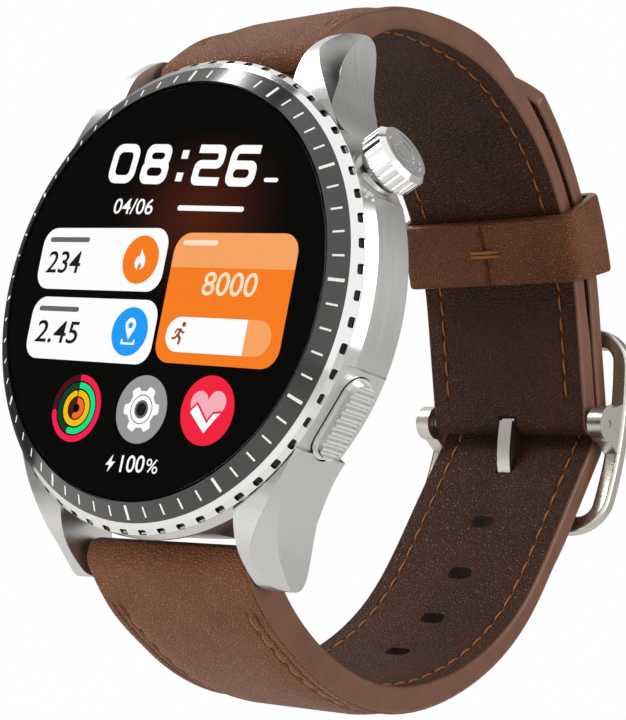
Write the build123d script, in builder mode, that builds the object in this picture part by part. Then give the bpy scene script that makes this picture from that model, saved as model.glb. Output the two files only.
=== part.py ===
from build123d import *
import os
from math import cos, sin, radians, sqrt

os.makedirs("parts", exist_ok=True)

# Smartwatch, millimetres. The origin is the centre of the skin window on the back of the case.
# The dial faces -Y, 12 o'clock is +Z, and 3 o'clock is +X. The strap is closed by its buckle.

# ---- driving dimensions ----
dial_y = -11.0             # plane of the minute marks
case_radius = 22.9         # brushed side of the case
bezel_radius = 22.75       # coin edge of the bezel
glass_radius = 19.95
cavity_radius = 19.2       # the room inside the case
side_y = dial_y + 5.3      # middle of the brushed side: the crown and the pusher sit on it
case_bottom = dial_y + 9.6
back_y = -0.5              # flat of the case back, just behind the skin window

lug_gap = 22.0             # between the lugs
bar_y = dial_y + 7.6       # spring bars
bar_z = 24.3
strap_width = 20.8
strap_end = 1.9            # radius of a strap end, wrapped round its spring bar

crown_angle = 60.0         # 2 o'clock
pusher_angle = 120.0       # 4 o'clock
pusher_travel = 0.35
crown_travel = 0.4

# The buckle end of the loop runs on arcs about one centre, with straight stretches past them.
loop_y = 12.4
loop_z = 0.85
short_inner = 33.05        # radii about that centre
short_outer = 35.7
long_inner = 35.95
long_outer = 38.1
arc_low = 19.0             # degrees, where the arcs turn into straight stretches
arc_high = 48.0
pin_y = 49.15
pin_z = -0.3
lining_share = 0.36        # part of the strap's thickness that is lining


def facing(y):
    """Plane across the case at y, drawn as seen from the dial side, extruding towards the dial."""
    return Plane(origin=(0, y, 0), x_dir=(1, 0, 0), z_dir=(0, -1, 0))


def radial(angle, radius, y=side_y):
    """Plane square to a radius of the case, at a clock angle; its own y runs to the back."""
    a = radians(angle)
    return Plane(
        origin=(radius * sin(a), y, radius * cos(a)),
        x_dir=(cos(a), 0, -sin(a)),
        z_dir=(sin(a), 0, cos(a)),
    )


def clock(angle, radius, along=0.0):
    """Point (x, z) at a clock angle and radius, then a step along the turn."""
    a = radians(angle)
    return (radius * sin(a) + along * cos(a), radius * cos(a) - along * sin(a))


def disc(radius, y_front, y_back):
    """Round plate between two planes across the case."""
    with BuildPart() as plate:
        with BuildSketch(facing(y_back)):
            Circle(radius)
        extrude(amount=y_back - y_front)
    return plate


def ring(outer, inner, y_front, y_back):
    """Flat ring between two planes across the case."""
    with BuildPart() as washer:
        with BuildSketch(facing(y_back)):
            Circle(outer)
            Circle(inner, mode=Mode.SUBTRACT)
        extrude(amount=y_back - y_front)
    return washer


def rod(radius, x_from, x_to, y, z):
    """Straight round rod along X."""
    with BuildPart() as bar:
        with BuildSketch(Plane.YZ.offset(x_from)):
            with Locations((y, z)):
                Circle(radius)
        extrude(amount=x_to - x_from)
    return bar


def save(piece, name):
    piece.part.label = name
    export_step(piece.part, f"parts/{name}.step")


# ---- lugs: four curved horns, all from one ----
with BuildPart() as lug:
    # side view of the horn: front edge, rounded tip, underside
    with BuildSketch(Plane.YZ.offset(lug_gap / 2)):
        with BuildLine():
            front = Spline(
                (dial_y + 1.75, 17.5), (dial_y + 2.1, 20.0), (dial_y + 3.3, 23.1),
                (dial_y + 5.9, 25.5), (dial_y + 8.5, 26.2), tangents=((0.05, 1), (1, 0)),
            )
            tip = Spline(front @ 1, (dial_y + 9.9, 24.9), (dial_y + 9.7, 22.8),
                         (dial_y + 8.9, 20.0), tangents=((1, 0), (-0.3, -1)))
            Polyline(tip @ 1, (dial_y + 8.4, 12.0), (dial_y + 1.75, 12.0), front @ 0)
        make_face()
    extrude(amount=9)
    # front view: the flank leaves the round of the case in a hollow curve
    with BuildSketch(facing(0)):
        with BuildLine():
            flank = Spline((17.7, 14.5), (15.3, 19.4), (14.2, 23.1), (13.6, 27.0),
                           tangents=((-14.5, 17.7), (-0.15, 1)))
            Polyline(flank @ 1, (lug_gap / 2, 27.0), (lug_gap / 2, 18.2), (16.2, 13.4), flank @ 0)
        make_face()
    extrude(amount=15, mode=Mode.INTERSECT)
    # the polished bevel carries on from the chamfer of the case and widens to the tip:
    # height z, then the ridge and the edge of the flank, each as x and depth behind the dial
    for z, x_ridge, y_ridge, x_side, y_side in (
        (13.5, 17.9, 1.7, 18.5, 3.15), (17.5, 15.9, 1.75, 16.35, 3.25), (20.8, 13.9, 2.3, 14.8, 4.0),
        (23.2, 12.5, 3.4, 14.1, 5.4), (27.0, 11.4, 5.6, 13.6, 9.2),
    ):
        with BuildSketch(Plane.XY.offset(z)):
            with BuildLine():
                Polyline((x_ridge, dial_y + y_ridge), (x_side, dial_y + y_side),
                         (x_side + 6, dial_y + y_side - 1), (x_ridge + 3, dial_y + y_ridge - 8),
                         close=True)
            make_face()
    loft(mode=Mode.SUBTRACT)

# ---- mid case ----
chamfer_top = dial_y + 1.75
side_top = dial_y + 3.15
side_bottom = dial_y + 7.6
neck_radius = 20.3
wall_z = 21.8              # flat wall between the lugs
seat_radius = 22.1         # floor of the recess round the pusher, from the centre of the case
hollow_radius = 9.2        # hollow round the crown
collar_hole = 1.6
button_hole = 0.8
bar_tip = 0.4

with BuildPart() as mid_case:
    # turned ring with the glass neck, the bezel deck, the polished chamfer and the brushed side
    with BuildSketch(Plane.XY):
        with BuildLine():
            Polyline(
                (18.9, dial_y + 0.6), (neck_radius, dial_y + 0.6), (neck_radius, chamfer_top),
                (22.45, chamfer_top), (case_radius, side_top), (case_radius, side_bottom),
                (21.4, case_bottom - 0.2), (20.9, case_bottom), (20.4, case_bottom),
                (20.4, case_bottom - 0.9), (cavity_radius, case_bottom - 0.9),
                (cavity_radius, dial_y + 2.2), (18.9, dial_y + 2.2), close=True,
            )
        make_face()
    revolve(axis=Axis.Y)
    # the strap ends sit in front of a flat wall between the lugs
    for end in (1, -1):
        with BuildSketch(Plane.XY.offset(end * wall_z)):
            with Locations((0, dial_y + 7.5)):
                Rectangle(lug_gap, 8.0)
        extrude(amount=end * 2, mode=Mode.SUBTRACT)
    # hollow round the crown
    with BuildSketch(facing(0)):
        with Locations(clock(crown_angle, seat_radius + hollow_radius)):
            Circle(hollow_radius)
    extrude(amount=9.3, mode=Mode.SUBTRACT)
    # flat recess round the pusher, sloping up at both ends
    with BuildSketch(facing(0)):
        with BuildLine():
            Polyline(
                clock(pusher_angle, seat_radius, -4.6), clock(pusher_angle, seat_radius, 4.6),
                clock(pusher_angle, seat_radius + 1.6, 6.4), clock(pusher_angle, seat_radius + 1.6, -6.0),
                close=True,
            )
        make_face()
    extrude(amount=9.3, mode=Mode.SUBTRACT)
    # the four lugs
    right_lugs = [lug.part, mirror(lug.part, about=Plane.XY, mode=Mode.PRIVATE)]
    add(right_lugs)
    add([mirror(horn, about=Plane.YZ, mode=Mode.PRIVATE) for horn in right_lugs])
    # groove in the neck for the wire that holds the bezel, and one in the deck for its gasket
    with BuildSketch(Plane.XY):
        with Locations((neck_radius, dial_y + 1.2)):
            Rectangle(0.7, 0.5)
        with Locations((21.4, chamfer_top + 0.1)):
            Rectangle(0.8, 0.5)
    revolve(axis=Axis.Y, mode=Mode.SUBTRACT)
    # holes for the spring bar tips, blind in each lug
    for end in (1, -1):
        with BuildSketch(Plane.YZ.offset(-12.3)):
            with Locations((bar_y, end * bar_z)):
                Circle(bar_tip + 0.05)
        extrude(amount=24.6, mode=Mode.SUBTRACT)
    # flat seat and hole for the crown tube
    with BuildSketch(radial(crown_angle, seat_radius)):
        Circle(2.35)
    extrude(amount=2, mode=Mode.SUBTRACT)
    with BuildSketch(radial(crown_angle, 15)):
        Circle(collar_hole)
    extrude(amount=9, mode=Mode.SUBTRACT)
    # pocket for the pusher, and its two stem holes
    with BuildSketch(radial(pusher_angle, 21.1)):
        SlotOverall(8.4, 3.6)
    extrude(amount=3, mode=Mode.SUBTRACT)
    with BuildSketch(radial(pusher_angle, 15)):
        with Locations((-2.2, 0), (2.2, 0)):
            Circle(button_hole)
    extrude(amount=9, mode=Mode.SUBTRACT)
    # speaker slots in the wall at 6 o'clock, and the microphone hole at 12 o'clock
    with BuildSketch(Plane.XY.offset(-wall_z)):
        with Locations((-4.0, dial_y + 5.3), (-2.0, dial_y + 5.3), (0, dial_y + 5.3)):
            SlotOverall(1.4, 0.7)
    extrude(amount=3.5, mode=Mode.SUBTRACT)
    with BuildSketch(Plane.XY.offset(wall_z)):
        with Locations((5.0, dial_y + 5.3)):
            Circle(0.35)
    extrude(amount=-3.5, mode=Mode.SUBTRACT)
save(mid_case, "mid_case")

# ---- rotating bezel: coin-edge ring, black insert, retaining wire and slip gasket ----
notch_count = 60
notch_depth = 0.3
insert_inner = (20.07, dial_y - 0.42)
insert_outer = (21.78, dial_y + 0.69)
shoulder = (22.3, dial_y + 1.03)        # the ring's top slopes on to here, then falls to the coin edge
coin_edge = (bezel_radius, dial_y + 1.55)
ring_bore = neck_radius + 0.06
ring_bottom = dial_y + 1.6

with BuildPart() as bezel_ring:
    with BuildSketch(Plane.XY):
        with BuildLine():
            Polyline(
                (ring_bore, dial_y + 0.25), (insert_outer[0], dial_y + 1.11),
                (insert_outer[0], insert_outer[1] + 0.02), shoulder, coin_edge,
                (bezel_radius, ring_bottom), (ring_bore, ring_bottom), close=True,
            )
        make_face()
    revolve(axis=Axis.Y)
    # groove for the retaining wire
    with BuildSketch(Plane.XY):
        with Locations((neck_radius, dial_y + 1.2)):
            Rectangle(0.6, 0.5)
    revolve(axis=Axis.Y, mode=Mode.SUBTRACT)
    # grip notches in the coin edge, midway between the minute marks
    fall = coin_edge[1] - shoulder[1]
    spread = coin_edge[0] - shoulder[0]
    length = sqrt(fall ** 2 + spread ** 2)
    middle = (shoulder[0] + coin_edge[0]) / 2
    for i in range(notch_count):
        a = radians((i + 0.5) * 360 / notch_count)
        slope = Plane(
            origin=(middle * sin(a), (shoulder[1] + coin_edge[1]) / 2, middle * cos(a)),
            x_dir=(cos(a), 0, -sin(a)),
            z_dir=(fall / length * sin(a), -spread / length, fall / length * cos(a)),
        )
        with BuildSketch(slope):
            RectangleRounded(0.95, 0.6, 0.2)
        extrude(amount=notch_depth, both=True, mode=Mode.SUBTRACT)
save(bezel_ring, "bezel_ring")

with BuildPart() as bezel_insert:
    with BuildSketch(Plane.XY):
        with BuildLine():
            Polyline(insert_inner, insert_outer, (insert_outer[0], dial_y + 1.06),
                     (insert_inner[0], dial_y + 0.02), close=True)
        make_face()
    revolve(axis=Axis.Y)
save(bezel_insert, "bezel_insert")

with BuildPart() as bezel_wire:
    with BuildSketch(Plane.XY):
        with Locations((20.27, dial_y + 1.2)):
            RectangleRounded(0.36, 0.3, 0.1)
    revolve(axis=Axis.Y, revolution_arc=348)
save(bezel_wire, "bezel_retaining_wire")
save(ring(21.78, 21.02, dial_y + 1.7, dial_y + 2.05), "bezel_gasket")

# ---- display ----
with BuildPart() as glass:
    with BuildSketch(facing(dial_y + 0.5)):
        Circle(glass_radius)
    extrude(amount=0.8)
    chamfer(glass.edges().group_by(Axis.Y)[0], length=0.2)
save(glass, "display_glass")
save(ring(19.9, 18.95, dial_y + 0.5, dial_y + 0.6), "glass_adhesive")
save(disc(18.7, dial_y + 0.5, dial_y + 1.3), "display_panel")
with BuildPart() as display_flex:
    with BuildSketch(facing(dial_y + 2.5)):
        with Locations((0, -15.5)):
            Rectangle(9, 3)
    extrude(amount=1.2)
save(display_flex, "display_flex")

# ---- inside the case ----
with BuildPart() as inner_frame:
    with BuildSketch(facing(dial_y + 3.1)):
        Circle(17.4)
        with Locations((0, -15.5)):
            Rectangle(10, 5, mode=Mode.SUBTRACT)
        with Locations(clock(crown_angle, 16.4)):
            Circle(3.4, mode=Mode.SUBTRACT)
    extrude(amount=0.6)
save(inner_frame, "inner_frame")

with BuildPart() as main_board:
    with BuildSketch(facing(dial_y + 4.0)):
        Circle(17.2)
        with Locations(clock(crown_angle, 16.6)):
            Circle(4.4, mode=Mode.SUBTRACT)
        with Locations(clock(pusher_angle, 18.6)):
            Circle(4.4, mode=Mode.SUBTRACT)
    extrude(amount=0.8)
    with BuildSketch(facing(dial_y + 4.9)):
        with Locations((-4, 12.2)):
            Rectangle(7, 4)
        with Locations((5, 12.2)):
            Rectangle(5, 4)
    extrude(amount=0.95)
save(main_board, "main_board")

with BuildPart() as battery:
    with BuildSketch(facing(dial_y + 8.6)):
        RectangleRounded(22, 18, 1.5)
    extrude(amount=4.2)
save(battery, "battery")

with BuildPart() as speaker:
    with BuildSketch(facing(dial_y + 7.2)):
        with Locations((-2.0, -14.6)):
            RectangleRounded(12, 6, 1)
    extrude(amount=3.0)
save(speaker, "speaker")

with BuildPart() as vibration_motor:
    with BuildSketch(facing(dial_y + 7.4)):
        with Locations((-14.6, -3.0)):
            Circle(3.2)
    extrude(amount=2.8)
save(vibration_motor, "vibration_motor")

# ---- case back ----
with BuildPart() as case_back:
    with BuildSketch(facing(back_y)):
        Circle(20.3)
    extrude(amount=back_y - (case_bottom - 0.85))
    chamfer(case_back.edges().group_by(Axis.Y)[-1], length=0.5)
    with BuildSketch(facing(back_y)):
        Circle(10.05)
    extrude(amount=0.9, mode=Mode.SUBTRACT)
    with BuildSketch(facing(back_y)):
        Circle(8.6)
    extrude(amount=4, mode=Mode.SUBTRACT)
    # groove for the gasket, four screw holes and two charging contacts
    with BuildSketch(facing(case_bottom - 0.85)):
        Circle(19.0)
        Circle(18.2, mode=Mode.SUBTRACT)
    extrude(amount=-0.5, mode=Mode.SUBTRACT)
    with BuildSketch(facing(back_y)):
        with PolarLocations(16.6, 4, start_angle=45):
            Circle(0.75)
        with Locations((-2.2, -13.4), (2.2, -13.4)):
            Circle(1.0)
    extrude(amount=4, mode=Mode.SUBTRACT)
save(case_back, "case_back")
save(ring(18.9, 18.3, case_bottom - 1.2, case_bottom - 0.4), "back_gasket")

with BuildPart() as skin_window:
    with BuildSketch(facing(0)):
        Circle(9.95)
    extrude(amount=1.35)
    chamfer(skin_window.edges().group_by(Axis.Y)[-1], length=0.25)
save(skin_window, "skin_window")
save(disc(8.4, back_y - 1.6, back_y - 0.95), "sensor_board")

with BuildPart() as back_screws:
    for i in range(4):
        a = radians(45 + 90 * i)
        place = (16.6 * cos(a), 16.6 * sin(a))
        with BuildSketch(facing(back_y - 0.05)):
            with Locations(place):
                Circle(0.7)
        extrude(amount=1.9)
        with BuildSketch(facing(back_y - 0.05)):
            with Locations(place):
                SlotOverall(1.0, 0.25)
                Rectangle(0.25, 1.0)
        extrude(amount=0.3, mode=Mode.SUBTRACT)
save(back_screws, "back_screws")

with BuildPart() as charge_contacts:
    for x in (-2.2, 2.2):
        with BuildSketch(facing(back_y - 0.05)):
            with Locations((x, -13.4)):
                Circle(0.95)
        extrude(amount=1.9)
save(charge_contacts, "charge_contacts")

# ---- crown: it turns on a stem that slides in a tube ----
knob_radius = 3.1
knob_rear = 23.35          # distances from the centre of the case
knob_face = 26.0
stem_radius = 0.75

with BuildPart() as crown_tube:
    with BuildSketch(radial(crown_angle, 18.4)):
        Circle(collar_hole - 0.02)
    extrude(amount=seat_radius + 0.1 - 18.4)
    with BuildSketch(radial(crown_angle, seat_radius)):
        Circle(2.3)
    extrude(amount=0.75)
    with BuildSketch(radial(crown_angle, 18.4)):
        Circle(stem_radius + 0.05)
    extrude(amount=6, mode=Mode.SUBTRACT)
save(crown_tube, "crown_tube")

with BuildPart() as crown_knob:
    with BuildSketch(radial(crown_angle, knob_rear)):
        Circle(knob_radius)
    extrude(amount=knob_face - knob_rear)
    rims = crown_knob.edges().filter_by(GeomType.CIRCLE).sort_by_distance(radial(crown_angle, 40).origin)
    chamfer(rims[0], length=0.45)
    chamfer(rims[-1], length=0.35)
    # flutes round the rim
    for i in range(24):
        with BuildSketch(radial(crown_angle, knob_rear + 0.25)):
            with PolarLocations(knob_radius + 0.02, 1, start_angle=i * 15):
                Circle(0.2)
        extrude(amount=1.95, mode=Mode.SUBTRACT)
    # turned rings in the end face, and the bore for the stem
    with BuildSketch(radial(crown_angle, knob_face)):
        Circle(2.15)
        Circle(1.9, mode=Mode.SUBTRACT)
        Circle(1.25)
        Circle(1.0, mode=Mode.SUBTRACT)
    extrude(amount=-0.12, mode=Mode.SUBTRACT)
    with BuildSketch(radial(crown_angle, knob_rear)):
        Circle(stem_radius)
    extrude(amount=1.6, mode=Mode.SUBTRACT)
save(crown_knob, "crown_knob")

with BuildPart() as crown_stem:
    with BuildSketch(radial(crown_angle, 17.0)):
        Circle(stem_radius)
    extrude(amount=knob_rear + 1.6 - 17.0)
    with BuildSketch(radial(crown_angle, 17.6)):
        Circle(stem_radius + 0.1)
        Circle(0.45, mode=Mode.SUBTRACT)
    extrude(amount=0.4, mode=Mode.SUBTRACT)
save(crown_stem, "crown_stem")

with BuildPart() as crown_clip:
    with BuildSketch(radial(crown_angle, 17.65)):
        Circle(1.5)
        Circle(0.5, mode=Mode.SUBTRACT)
    extrude(amount=0.3)
save(crown_clip, "crown_clip")

with BuildPart() as crown_sensor:
    with BuildSketch(radial(crown_angle, 15.2)):
        Rectangle(4.0, 2.6)
    extrude(amount=1.3)
save(crown_sensor, "crown_sensor")

# ---- pusher at 4 o'clock ----
with BuildPart() as pusher:
    with BuildSketch(radial(pusher_angle, 21.6)):
        SlotOverall(8.2, 3.4)
    extrude(amount=0.75)
    with BuildSketch(radial(pusher_angle, 22.3)):
        SlotOverall(7.5, 2.9)
    extrude(amount=0.95)
    # cross ribs, left standing between round grooves
    with BuildSketch(Plane(radial(pusher_angle, 23.3).origin,
                           x_dir=(cos(radians(pusher_angle)), 0, -sin(radians(pusher_angle))),
                           z_dir=(0, 1, 0))):
        with GridLocations(0.8, 1, 9, 1):
            Circle(0.27)
    extrude(amount=3, both=True, mode=Mode.SUBTRACT)
    # two stems
    with BuildSketch(radial(pusher_angle, 18.9)):
        with Locations((-2.2, 0), (2.2, 0)):
            Circle(button_hole - 0.05)
    extrude(amount=2.8)
save(pusher, "pusher")

with BuildPart() as pusher_switch:
    with BuildSketch(radial(pusher_angle, 17.0)):
        Rectangle(6.4, 2.4)
    extrude(amount=1.3)
save(pusher_switch, "pusher_switch")

# ---- spring bars: a tube in each strap end, with a sliding tip at each side ----
for end, name in ((1, "upper"), (-1, "lower")):
    with BuildPart() as bar_tube:
        with BuildSketch(Plane.YZ.offset(-9.9)):
            with Locations((bar_y, end * bar_z)):
                Circle(0.8)
                Circle(0.6, mode=Mode.SUBTRACT)
        extrude(amount=19.8)
    save(bar_tube, f"{name}_bar_tube")
    for side, hand in ((1, "right"), (-1, "left")):
        with BuildPart() as bar_tip_pin:
            with BuildSketch(Plane.YZ.offset(side * 6.5)):
                with Locations((bar_y, end * bar_z)):
                    Circle(0.55)
            extrude(amount=side * 4.2)
            with BuildSketch(Plane.YZ.offset(side * 6.5)):
                with Locations((bar_y, end * bar_z)):
                    Circle(bar_tip)
            extrude(amount=side * 5.5)
        save(bar_tip_pin, f"{name}_bar_tip_{hand}")

# ---- strap ----
low = radians(arc_low)
high = radians(arc_high)
down_line = (sin(low), -cos(low))          # straight stretch from the arcs to the buckle
rise_line = (0.447, 0.894)                 # straight stretch of the long strap below the buckle
rise_start = (46.0, -10.3)
rise_thick = 2.4


def on_arc(radius, degrees_up):
    """Point (y, z) on the loop's arcs."""
    a = radians(degrees_up)
    return (loop_y + radius * cos(a), loop_z + radius * sin(a))


def between(outer, inner, share):
    """Point between the outer face (share 1) and the inner face (share 0)."""
    return tuple(i + share * (o - i) for o, i in zip(outer, inner))


def crossing(radius, share):
    """Point (y, z) where the two straight stretches of the long strap would meet."""
    y1, z1 = on_arc(radius, arc_low)
    y2 = rise_start[0] + share * rise_thick * rise_line[1]
    z2 = rise_start[1] - share * rise_thick * rise_line[0]
    t = ((y2 - y1) * rise_line[1] - (z2 - z1) * rise_line[0]) / (
        down_line[0] * rise_line[1] - down_line[1] * rise_line[0])
    return (y1 + t * down_line[0], z1 + t * down_line[1])


# stations along each strap, as (outer, inner) points (y, z) at its edge
short_stations = [
    ((-4.83, 25.55), (-1.84, 23.2)), ((3.0, 32.1), (5.1, 30.1)), ((13.0, 35.1), (13.2, 31.9)),
    (on_arc(short_outer, 75), on_arc(32.1, 75)), (on_arc(short_outer, 61), on_arc(32.7, 61)),
    (on_arc(short_outer, arc_high), on_arc(short_inner, arc_high)),
]
long_stations = [
    ((-4.83, -25.55), (-1.84, -23.2)), ((5.8, -33.4), (7.3, -30.4)), ((17.5, -35.9), (17.5, -32.7)),
    ((29.2, -33.2), (27.9, -30.5)), ((41.0, -24.4), (39.1, -22.5)),
    ((rise_start[0] + rise_thick * rise_line[1], rise_start[1] - rise_thick * rise_line[0]), rise_start),
]
start_tangents = ((0.66, 0.75), (0.57, 0.82))   # at the spring bar, outer and inner
long_bend = 4.5            # bend of the long strap over the pin, at its inner face
long_bend_extra = 2.3
end_short = (sin(high), -cos(high))


def short_curve(share):
    """One face of the short strap, from the spring bar to the buckle pin."""
    points = [between(o, i, share) for o, i in short_stations]
    radius = short_inner + share * (short_outer - short_inner)
    run = Spline(*points, tangents=(between(*start_tangents, share), end_short))
    bend = ThreePointArc(run @ 1, on_arc(radius, (arc_low + arc_high) / 2), on_arc(radius, arc_low))
    mid_radius = (short_inner + short_outer) / 2
    reach = (pin_z - on_arc(mid_radius, arc_low)[1]) / down_line[1]
    foot = tuple(p + reach * d for p, d in zip(bend @ 1, down_line))
    Line(bend @ 1, foot)
    return points[0], foot


def long_curve(share, end_angle):
    """One face of the long strap, from the spring bar, over the pin, to its tip."""
    points = [between(o, i, share) for o, i in long_stations]
    radius = long_inner + share * (long_outer - long_inner)
    start_y, start_z = between(*start_tangents, share)
    run = Spline(*points, tangents=((start_y, -start_z), rise_line))
    straight = FilletPolyline(run @ 1, crossing(radius, share), on_arc(radius, arc_low),
                              radius=long_bend + share * long_bend_extra)
    tail = ThreePointArc(straight @ 1, on_arc(radius, (arc_low + end_angle) / 2),
                         on_arc(radius, end_angle))
    return points[0], tail @ 1


def wrap_end(end, start_outer, start_inner):
    """Round end of a strap about its spring bar."""
    far = (bar_y - strap_end * 0.62, end * (bar_z - strap_end * 0.785))
    ThreePointArc(start_outer, far, start_inner)


def strap_solid():
    """Prism of the strap's width from the sketch plane."""
    extrude(amount=strap_width / 2, both=True)


tip_angle = 67.0           # end of the long strap
hole_width = 3.0
hole_height = 1.6
hole_corner = 0.7
tongue_width = 1.7
tongue_play = 0.3          # room round the tongue in its hole and in its slot
padding_half = 7.5         # half width of the soft filler
padding_share = 0.75       # part of the thickness below the filler's top
bar_bore = 0.82            # bore for a spring bar
pin_play = 0.03
tip_round = 12.2           # radius of the free end, seen flat

# buckle frame: a rounded ring on the outside of the strap, arched with it
frame_half = 12.9
frame_top = 11.0
frame_foot = -12.9
frame_corner = 4.2
frame_side = 1.95          # width of the band beside the opening
frame_bar = 2.15           # height of the band above and below it
inner_arch = ((50.2, 11.0), (51.6, -1.6), (47.9, -14.1))
outer_arch = ((51.8, 11.4), (53.25, -1.6), (49.5, -14.5))
ear_radius = 1.95
tip_pin = 0.4
pin_radius = 0.75
knuckle_radius = 1.35


def tongue_arm(grow, half_width):
    """The tongue's arm, grown all round: it passes through the strap and lies on the frame."""
    with BuildPart() as arm:
        with BuildSketch(Plane.YZ):
            with BuildLine():
                middle = Spline((47.95, -0.3), (48.1, -3.6), (49.05, -6.6), (50.9, -8.9), (51.85, -11.0),
                                (51.2, -13.3), tangents=((0, -1), (-0.5, -1)))
            trace(middle, line_width=1.1 + 2 * grow)
        extrude(amount=half_width, both=True)
    return arm.part


def clear_bar(end):
    """Cut the inner layers short of the strap end, where the leather alone wraps the bar."""
    with BuildSketch(Plane.XY.offset(end * 15)) as block:
        with Locations((0, -4)):
            Rectangle(30, 16)
    extrude(block.sketch, amount=end * 14.3, mode=Mode.SUBTRACT)


# ---- short strap: 12 o'clock side, carries the buckle ----
with BuildPart() as short_padding:
    with BuildSketch(Plane.YZ):
        with BuildLine():
            outer_start, outer_foot = short_curve(padding_share)
            inner_start, inner_foot = short_curve(lining_share)
            Line(outer_start, inner_start)
            Line(outer_foot, inner_foot)
        make_face()
    extrude(amount=padding_half, both=True)
    clear_bar(1)
    with BuildSketch(Plane.XY.offset(22)):
        with Locations((0, 50)):
            Rectangle(30, 45)
    extrude(amount=-60, mode=Mode.SUBTRACT)
save(short_padding, "short_strap_padding")

with BuildPart() as short_lining:
    with BuildSketch(Plane.YZ):
        with BuildLine():
            outer_start, outer_foot = short_curve(lining_share)
            inner_start, inner_foot = short_curve(0.0)
            Line(outer_start, inner_start)
            Line(outer_foot, inner_foot)
        make_face()
    strap_solid()
    clear_bar(1)
    with BuildSketch(Plane.XY.offset(4.5)):
        with Locations((0, 50)):
            Rectangle(30, 20)
    extrude(amount=-20, mode=Mode.SUBTRACT)
save(short_lining, "short_strap_lining")

with BuildPart() as short_strap:
    with BuildSketch(Plane.YZ):
        with BuildLine():
            outer_start, outer_foot = short_curve(1.0)
            inner_start, inner_foot = short_curve(0.0)
            wrap_end(1, outer_start, inner_start)
            half_thick = (short_outer - short_inner) / 2
            ThreePointArc(outer_foot,
                          (pin_y + half_thick * down_line[0], pin_z + half_thick * down_line[1]),
                          inner_foot)
        make_face()
    strap_solid()
    add(short_lining.part, mode=Mode.SUBTRACT)
    add(short_padding.part, mode=Mode.SUBTRACT)
    with BuildSketch(Plane.YZ.offset(-strap_width)):
        with Locations((bar_y, bar_z)):
            Circle(bar_bore)
        with Locations((pin_y, pin_z)):
            Circle(pin_radius + pin_play)
    extrude(amount=2 * strap_width, mode=Mode.SUBTRACT)
    # slot for the tongue
    with BuildSketch(Plane.YZ.offset(-tongue_width / 2 - tongue_play)):
        with Locations((pin_y, pin_z)):
            Circle(knuckle_radius + tongue_play)
            with Locations((0, -3)):
                Rectangle(6, 6)
    extrude(amount=tongue_width + 2 * tongue_play, mode=Mode.SUBTRACT)
save(short_strap, "short_strap_leather")

# ---- long strap: 6 o'clock side, with the holes ----
hole_stations = (((45.8, -13.1), 0.52), ((42.3, -19.2), 0.66), ((38.4, -25.1), 0.80), ((32.7, -29.9), 1.0))


def punch_holes():
    """Holes for the tongue: the one in use follows the tongue, the others are square to the strap."""
    for (y, z), lean in hole_stations:
        square = Plane(origin=(0, y, z), x_dir=(1, 0, 0), z_dir=(0, cos(lean), -sin(lean)))
        with BuildSketch(square) as hole:
            RectangleRounded(hole_width, hole_height, hole_corner)
        extrude(hole.sketch, amount=4, both=True, mode=Mode.SUBTRACT)
    for angle in (20.0, 31.0):
        a = radians(angle)
        square = Plane(origin=(0, *on_arc(long_inner, angle)), x_dir=(1, 0, 0), z_dir=(0, cos(a), sin(a)))
        with BuildSketch(square) as hole:
            RectangleRounded(hole_width, hole_height, hole_corner)
        extrude(hole.sketch, amount=4, both=True, mode=Mode.SUBTRACT)
    add(tongue_arm(tongue_play, tongue_width / 2 + tongue_play), mode=Mode.SUBTRACT)


def trim_tip():
    """Round the free end of the long strap."""
    a = radians(tip_angle)
    across = Plane(origin=(0, loop_y, loop_z), x_dir=(1, 0, 0), z_dir=(0, cos(a), sin(a)))
    with BuildSketch(across) as waste:
        with Locations((0, 3)):
            Rectangle(24, 8)
        with Locations((0, tip_round)):
            Circle(tip_round, mode=Mode.SUBTRACT)
    extrude(waste.sketch, amount=45, mode=Mode.SUBTRACT)


with BuildPart() as long_padding:
    with BuildSketch(Plane.YZ):
        with BuildLine():
            outer_start, outer_tip = long_curve(padding_share, arc_high)
            inner_start, inner_tip = long_curve(lining_share, arc_high)
            Line(outer_start, inner_start)
            Line(outer_tip, inner_tip)
        make_face()
    extrude(amount=padding_half, both=True)
    clear_bar(-1)
    with BuildSketch(Plane.XY.offset(-21)):
        with Locations((0, 50)):
            Rectangle(30, 52)
    extrude(amount=80, mode=Mode.SUBTRACT)
    punch_holes()
save(long_padding, "long_strap_padding")

with BuildPart() as long_lining:
    with BuildSketch(Plane.YZ):
        with BuildLine():
            outer_start, outer_tip = long_curve(lining_share, tip_angle)
            inner_start, inner_tip = long_curve(0.0, tip_angle)
            Line(outer_start, inner_start)
            Line(outer_tip, inner_tip)
        make_face()
    strap_solid()
    clear_bar(-1)
    punch_holes()
    trim_tip()
save(long_lining, "long_strap_lining")

with BuildPart() as long_strap:
    with BuildSketch(Plane.YZ):
        with BuildLine():
            outer_start, outer_tip = long_curve(1.0, tip_angle)
            inner_start, inner_tip = long_curve(0.0, tip_angle)
            wrap_end(-1, outer_start, inner_start)
            Line(outer_tip, inner_tip)
        make_face()
    strap_solid()
    punch_holes()
    trim_tip()
    add(long_lining.part, mode=Mode.SUBTRACT)
    add(long_padding.part, mode=Mode.SUBTRACT)
    with BuildSketch(Plane.YZ.offset(-strap_width)):
        with Locations((bar_y, -bar_z)):
            Circle(bar_bore)
    extrude(amount=2 * strap_width, mode=Mode.SUBTRACT)
save(long_strap, "long_strap_leather")

# ---- keeper: leather loop that slides along the arcs ----
keeper_low = 24.6
keeper_span = 13.4
keeper_wall = 1.2
keeper_gap = 0.28

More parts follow.
